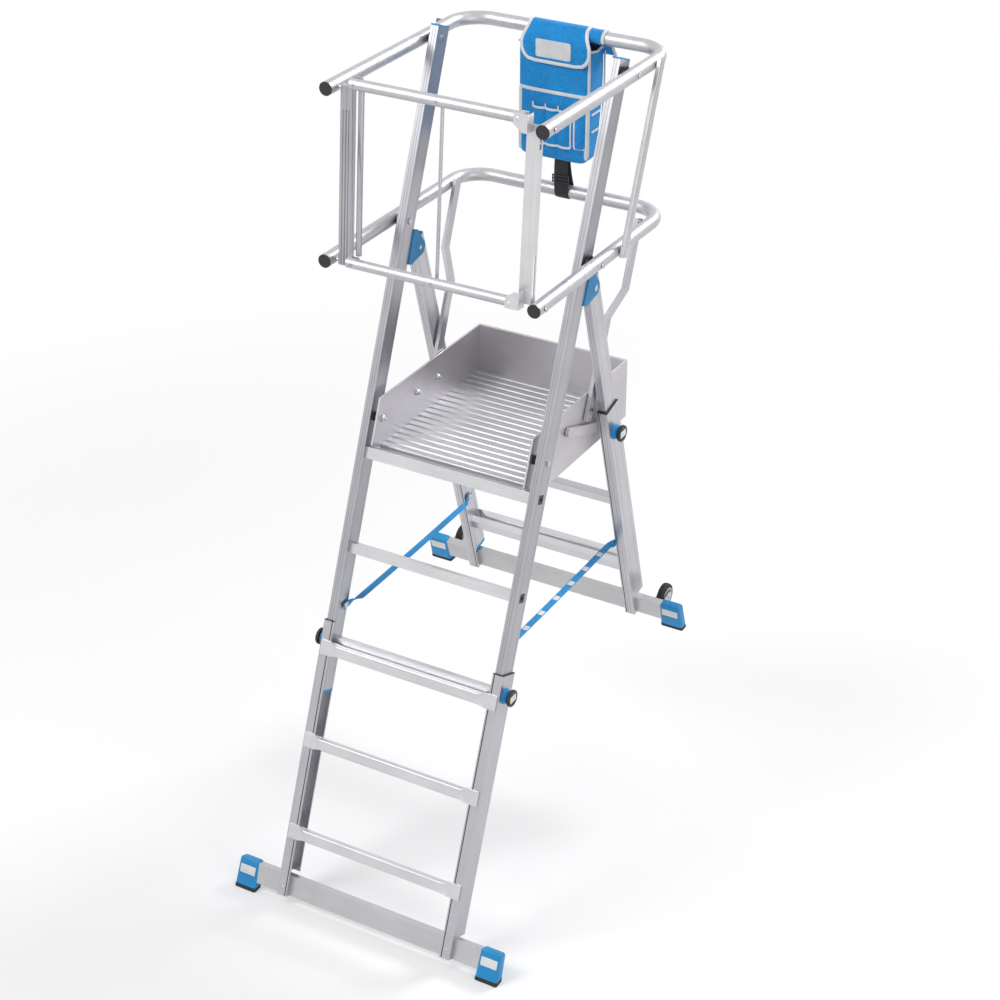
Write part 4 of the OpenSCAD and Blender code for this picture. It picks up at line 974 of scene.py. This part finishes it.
# Outline of the deck along the step, carried straight across it. A rib is a flat crown with sides that
# fall as a cosine into the groove beside it
def makeDeck(d=deck0):
    (x0, y0, z0), (x1, y1, z1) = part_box("platform_deck")
    count = int((y1 - y0 - 0.012) / d["pitch"])
    start = y0 + (y1 - y0 - count * d["pitch"]) / 2
    t = linspace(0, 2 * pi, 9)
    dip = d["deep"] * (0.5 - 0.5 * cos(t)) ** 0.6
    line = [(y0, z1 - d["edge"]), (y0 + d["edge"], z1)]
    for i in range(count):
        line += zip(start + d["pitch"] * (i + 0.5) + (t / (2 * pi) - 0.5) * d["groove"], z1 - dip)
    line += [(y1 - d["edge"], z1), (y1, z1 - d["edge"])]
    under = z1 - d["deep"] - d["skin"]
    line += [(y1, z0), (y1 - d["flange"], z0), (y1 - d["flange"], under)]
    for w in linspace(y0, y1, 6)[-2:0:-1]:
        line += [(w + d["web"], under), (w + d["web"], z0 + 0.004), (w - d["web"], z0 + 0.004),
                 (w - d["web"], under)]
    line += [(y0 + d["flange"], under), (y0 + d["flange"], z0), (y0, z0)]
    rings = [[(x, y, z) for y, z in line] for x in (x0, x1)]
    addPiece("platform", "ribbed_deck", [tube(rings)], "deckSheet", 38, "platform_deck")


makeDeck()

# Bolt ends with nuts that stand inside the boards, and the spacers round the platform's pivot bolts
bolt0 = {"places": (0.0, 0.185, 0.298), "nut": (0.0085, 0.007), "bolt": 0.0052, "reach": 0.0145,
         "spacer": 0.0135, "hole": 0.0066}


def makeBoardEnds(b=bolt0):
    lo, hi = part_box("side_board_right")
    inner, outer = min(abs(lo[0]), abs(hi[0])), hi[0]
    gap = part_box("front_stile_right")[0][0] - outer
    rim, tip = b["spacer"] - 0.001, b["bolt"] - 0.001
    pins, spacers = [], []
    for side in (-1, 1):
        for back in b["places"]:
            at = platformPivot * [0, 1, 1] + [side * inner, back, 0]
            pins.append(hexHead(at, -side * xWay, *b["nut"]))
            pins.append(turned([(0.004, b["bolt"]), (b["reach"] - 0.001, b["bolt"]), (b["reach"], tip),
                                (b["reach"], 0.00001)], at, -side * xWay, 20))
        at = platformPivot * [0, 1, 1] + [side * (outer + 0.0006), 0, 0]
        spacers.append(turned([(0, b["hole"]), (0, rim), (0.0008, b["spacer"]), (gap - 0.002, b["spacer"]),
                               (gap - 0.0012, rim), (gap - 0.0012, b["hole"]), (0, b["hole"])], at,
                              side * xWay, 28))
    addPiece("platform", "board_bolt_ends", pins, "zincSteel", 35)
    addPiece("front_frame", "platform_spacers", spacers, "blackPlastic")


makeBoardEnds()
print("platform made")

# Safety straps: flat webbing from the front stiles to the rear legs, one with pale blocks woven in
strap0 = {"wide": 0.022, "thick": 0.0013, "twist": 0.045, "inwards": 0.0115, "over": 0.012, "dips": 0.003,
          "blocks": 7, "block": 0.021, "firstBlock": 0.10, "lastBlock": 0.84}


def makeSafetyStraps(s=strap0):
    p = pointsOf("safety_straps")
    right = p[p[:, 0] > 0]
    # The bolts that hold its ends reach furthest outwards
    bolts = right[right[:, 0] > right[:, 0].max() - 0.0002]
    middle = bolts[:, 1].mean()
    front, back = bolts[bolts[:, 1] < middle].mean(0), bolts[bolts[:, 1] > middle].mean(0)
    run = (back - front) / np.linalg.norm((back - front)[1:])
    run[0] = 0
    up = array([0, -run[2], run[1]])
    x = right[:, 0].min() + 0.0045
    a, b = front - run * s["over"], back + run * s["over"]
    length = np.linalg.norm(b - a)
    prof = webbing(s["wide"] / 2, s["thick"] / 2, 0.4)
    blue, white, studs = [], [], {"front": [], "rear": []}

    # The webbing lies flat on the metal at its bolts, and a quarter turn lays it face up between them
    def along(share, side):
        away = np.minimum(share, 1 - share) * length - 2 * s["over"]
        twist = ease(clip(away / s["twist"], 0, 1))
        line = a + (b - a) * share[:, None]
        line[:, 2] -= s["dips"] * sin(pi * share)
        line[:, 0] = side * (x - s["inwards"] * twist)
        turn, inwards = twist[:, None] * pi / 2, -side * xWay
        return line, cos(turn) * up + sin(turn) * inwards, cos(turn) * inwards - sin(turn) * up

    for side in (-1, 1):
        blue.append(sweep(*along(linspace(0, 1, 81), side), prof))
        for end, word in ((front, "front"), (back, "rear")):
            at = array([side * x, *end[1:]])
            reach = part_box("front_stile_right")[0][0] - x - 0.0002
            studs[word] += [
                turned([(-0.001, 0.0095), (0.0016, 0.0095), (0.0022, 0.0088), (0.0022, 0.0001)], at,
                       -side * xWay, 24),
                dome(at - 0.0020 * side * xWay, -side * xWay, 0.0052, 0.0026),
                turned([(0, 0.0045), (reach, 0.0045), (reach, 0.0001)], at, side * xWay, 20)]
    half = s["block"] / 2 / length
    for c in linspace(s["firstBlock"], s["lastBlock"], s["blocks"]):
        white.append(sweep(*along(linspace(c - half, c + half, 5), 1), prof * [0.8, 1.7]))
    webs = meshFrom("safety_webbing", *joined(blue), "strapWebbing", sharp=60)
    blocks = meshFrom("safety_webbing_blocks", *joined(white), "strapBlocks", sharp=60)
    a, b = front + run * 0.02, back - run * 0.02
    for piece in (webs, blocks):
        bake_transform(piece)
    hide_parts("safety_straps")
    for word, body in (("front", "front_frame"), ("rear", "rear_legs")):
        addPiece(body, "strap_studs_" + word, studs[word], "zincSteel")
    return length


print("safety straps made, m long:", round(float(makeSafetyStraps()), 3))

# Wheels: a treaded tyre on a pale hub with spokes
wheel0 = {"tyre": 0.0285, "treads": 36, "bite": 0.0009, "spokes": 6}


def makeWheel(node, body, w=wheel0):
    c, (half, _, R) = boxOf(node)[2:]
    ang = around(w["treads"] * 4)
    bite = w["bite"] * (0.5 - 0.5 * cos(w["treads"] * ang)) ** 3
    left = [(-half + 0.0015, w["tyre"], 0), (-half + 0.0012, R - 0.006, 0), (-half + 0.0035, R - 0.0018, 0.5),
            (-half + 0.0075, R - 0.0001, 1), (-0.0016, R - 0.0001, 1), (-0.0010, R - 0.0016, 0)]
    steps = left + [(-a, r, f) for a, r, f in left[::-1]]
    addPiece(body, node + "_tyre", [ribbed(c, 1, steps, ang, bite, True)], "blackRubber", 45, node)
    rim = [(-half + 0.001, 0.0285), (-half + 0.001, 0.0245), (-half + 0.006, 0.0235), (half - 0.006, 0.0235),
           (half - 0.001, 0.0245), (half - 0.001, 0.0285), (-half + 0.001, 0.0285)]
    hub = [turned(rim, c, xWay, 48)]
    for x, inner, outer, n in ((half, 0.0055, 0.0098, 32), (0.002, 0.009, 0.024, 48)):
        hub.append(turned([(-x, outer), (-x, inner), (x, inner), (x, outer), (-x, outer)], c, xWay, n))
    for t in around(w["spokes"]):
        out, across = array([0, cos(t), sin(t)]), array([0, -sin(t), cos(t)])
        hub.append(plate(c + out * 0.0168, (xWay, across, out), (half - 0.003, 0.0014, 0.0075), 0.0006, 3))
    addPiece(body, node + "_hub", hub, "hubPlastic")


for name in ("wheel_left", "wheel_right"):
    makeWheel(name, bodyOf[name])
print("wheels made")

# Bag strap: webbing that leaves the bag's floor as two legs and loops under the lower hoop
webbing0 = {"wide": 0.044, "thick": 0.0022, "bow": 0.003, "slack": 0.004, "buckle": (0.026, 0.012)}


def makeBagStrap(s=webbing0):
    _, hi, (x, yMid, _), half = boxOf("bag_strap")
    r = half[1] - s["thick"] / 2
    low, zTop = jointAt("lower_guard_fold")[2], hi[2] + 0.004
    ang = linspace(pi, 2 * pi, 17)
    loop = stack([0 * ang + x, yMid + r * cos(ang), low + r * sin(ang)], 1)
    # The front leg bows a little forward; the rear leg leaves the tube behind and meets the front leg above
    k = linspace(0, 1, 22)
    bow = sin(pi * k)
    frontLeg = stack([0 * k + x, yMid - r - s["bow"] * bow, zTop + (low - zTop) * k], 1)
    rearTop = array([x - 0.004, yMid - r * 0.1, zTop])
    rearLeg = loop[-1] + (rearTop - loop[-1]) * k[:, None] + stack([0 * k, -s["slack"] * bow, 0 * k], 1)
    path = concatenate([frontLeg[:-1], loop, rearLeg[1:]])
    up = unit(cross(np.gradient(path, axis=0), xWay))
    band = sweep(path, xWay, up, webbing(s["wide"] / 2, s["thick"] / 2, 0.35))
    addPiece("lower_guard", "bag_strap_webbing", [band], "blackTape", 60, "bag_strap")
    # A slide buckle half way up the front leg: three bars across and one at each end
    at = array([x, yMid - r - 0.0055, low + (zTop - low) * 0.42])
    wide, tall = s["buckle"]
    bars = [plate(at + dz * zWay, (zWay, -yWay, xWay), (0.0022, 0.0016, wide), 0.001, 3)
            for dz in (-0.010, 0.0, 0.010)]
    bars += [plate(at + dx * xWay, (xWay, -yWay, zWay), (0.002, 0.0016, tall), 0.001, 3)
             for dx in (0.0015 - wide, wide - 0.0015)]
    addPiece("lower_guard", "bag_strap_buckle", bars, "blackPlastic")
    return float(np.linalg.norm(np.diff(path, axis=0), axis=1).sum())


print("bag strap made, m long:", round(makeBagStrap(), 3))

# Gate: bright pins in the black fittings, and gussets that hold the right ends of the two bars
for name in ("upper_hoop_fittings", "lower_hoop_fittings"):
    mesh = nodes[name].data
    mesh.materials.append(finish["zincSteel"])
    fore = pointsOf(name)[:, 1].min()
    for face in mesh.polygons:
        if face.center[1] > fore + 0.019:
            face.material_index = 1

gusset0 = {"thick": 0.0011, "side": 0.012, "over": 0.018, "tall": 0.0135, "low": 0.0145, "diagonal": 0.034,
           "topPin": 0.013, "footPin": 0.015, "post": 0.036, "pinIn": 0.010, "arm": (0.0008, 0.0158)}


# A plate with one slanting edge in front of each bar end; its points are given from the pin it carries
def makeGussets(g=gusset0):
    p = pointsOf("gate_channel")
    upGate = array([0, liftAxis[2], -liftAxis[1]])
    high, low = (p @ upGate).max() - g["topPin"], (p @ upGate).min() + g["footPin"]
    front = (p @ liftAxis).max() - 0.0006
    x0 = p[:, 0].max() - g["post"]
    pin, end = x0 - g["pinIn"], x0 + g["over"]
    parts = []
    for level, way in ((high, 1), (low, -1)):
        outline = [(pin - g["side"], g["tall"]), (end, g["tall"]), (end, -g["diagonal"]),
                   (x0 + 0.004, -g["diagonal"]), (pin - g["side"], -g["low"])]
        parts.append(tube([[x * xWay + (level + way * y) * upGate + (front - back) * liftAxis
                            for x, y in outline] for back in (0, g["thick"])]))
        parts.append(dome(pin * xWay + level * upGate + front * liftAxis, liftAxis, 0.0055, 0.0013, 20))
        thick, deep = g["arm"]
        arm = ((end - thick) * xWay + (level + way * (g["tall"] - g["diagonal"]) / 2) * upGate
               + (front - deep - 0.0006) * liftAxis)
        tall = (g["tall"] + g["diagonal"]) / 2
        parts.append(plate(arm, (xWay, upGate, liftAxis), (thick, tall, deep), 0.0004))
    addPiece(bodyOf["gate_channel"], "gate_gussets", parts, "channelAluminium", 35)


makeGussets()
print("gate fittings made")

scene = bpy.context.scene
scene.view_settings.view_transform = "Standard"
print("scene done")
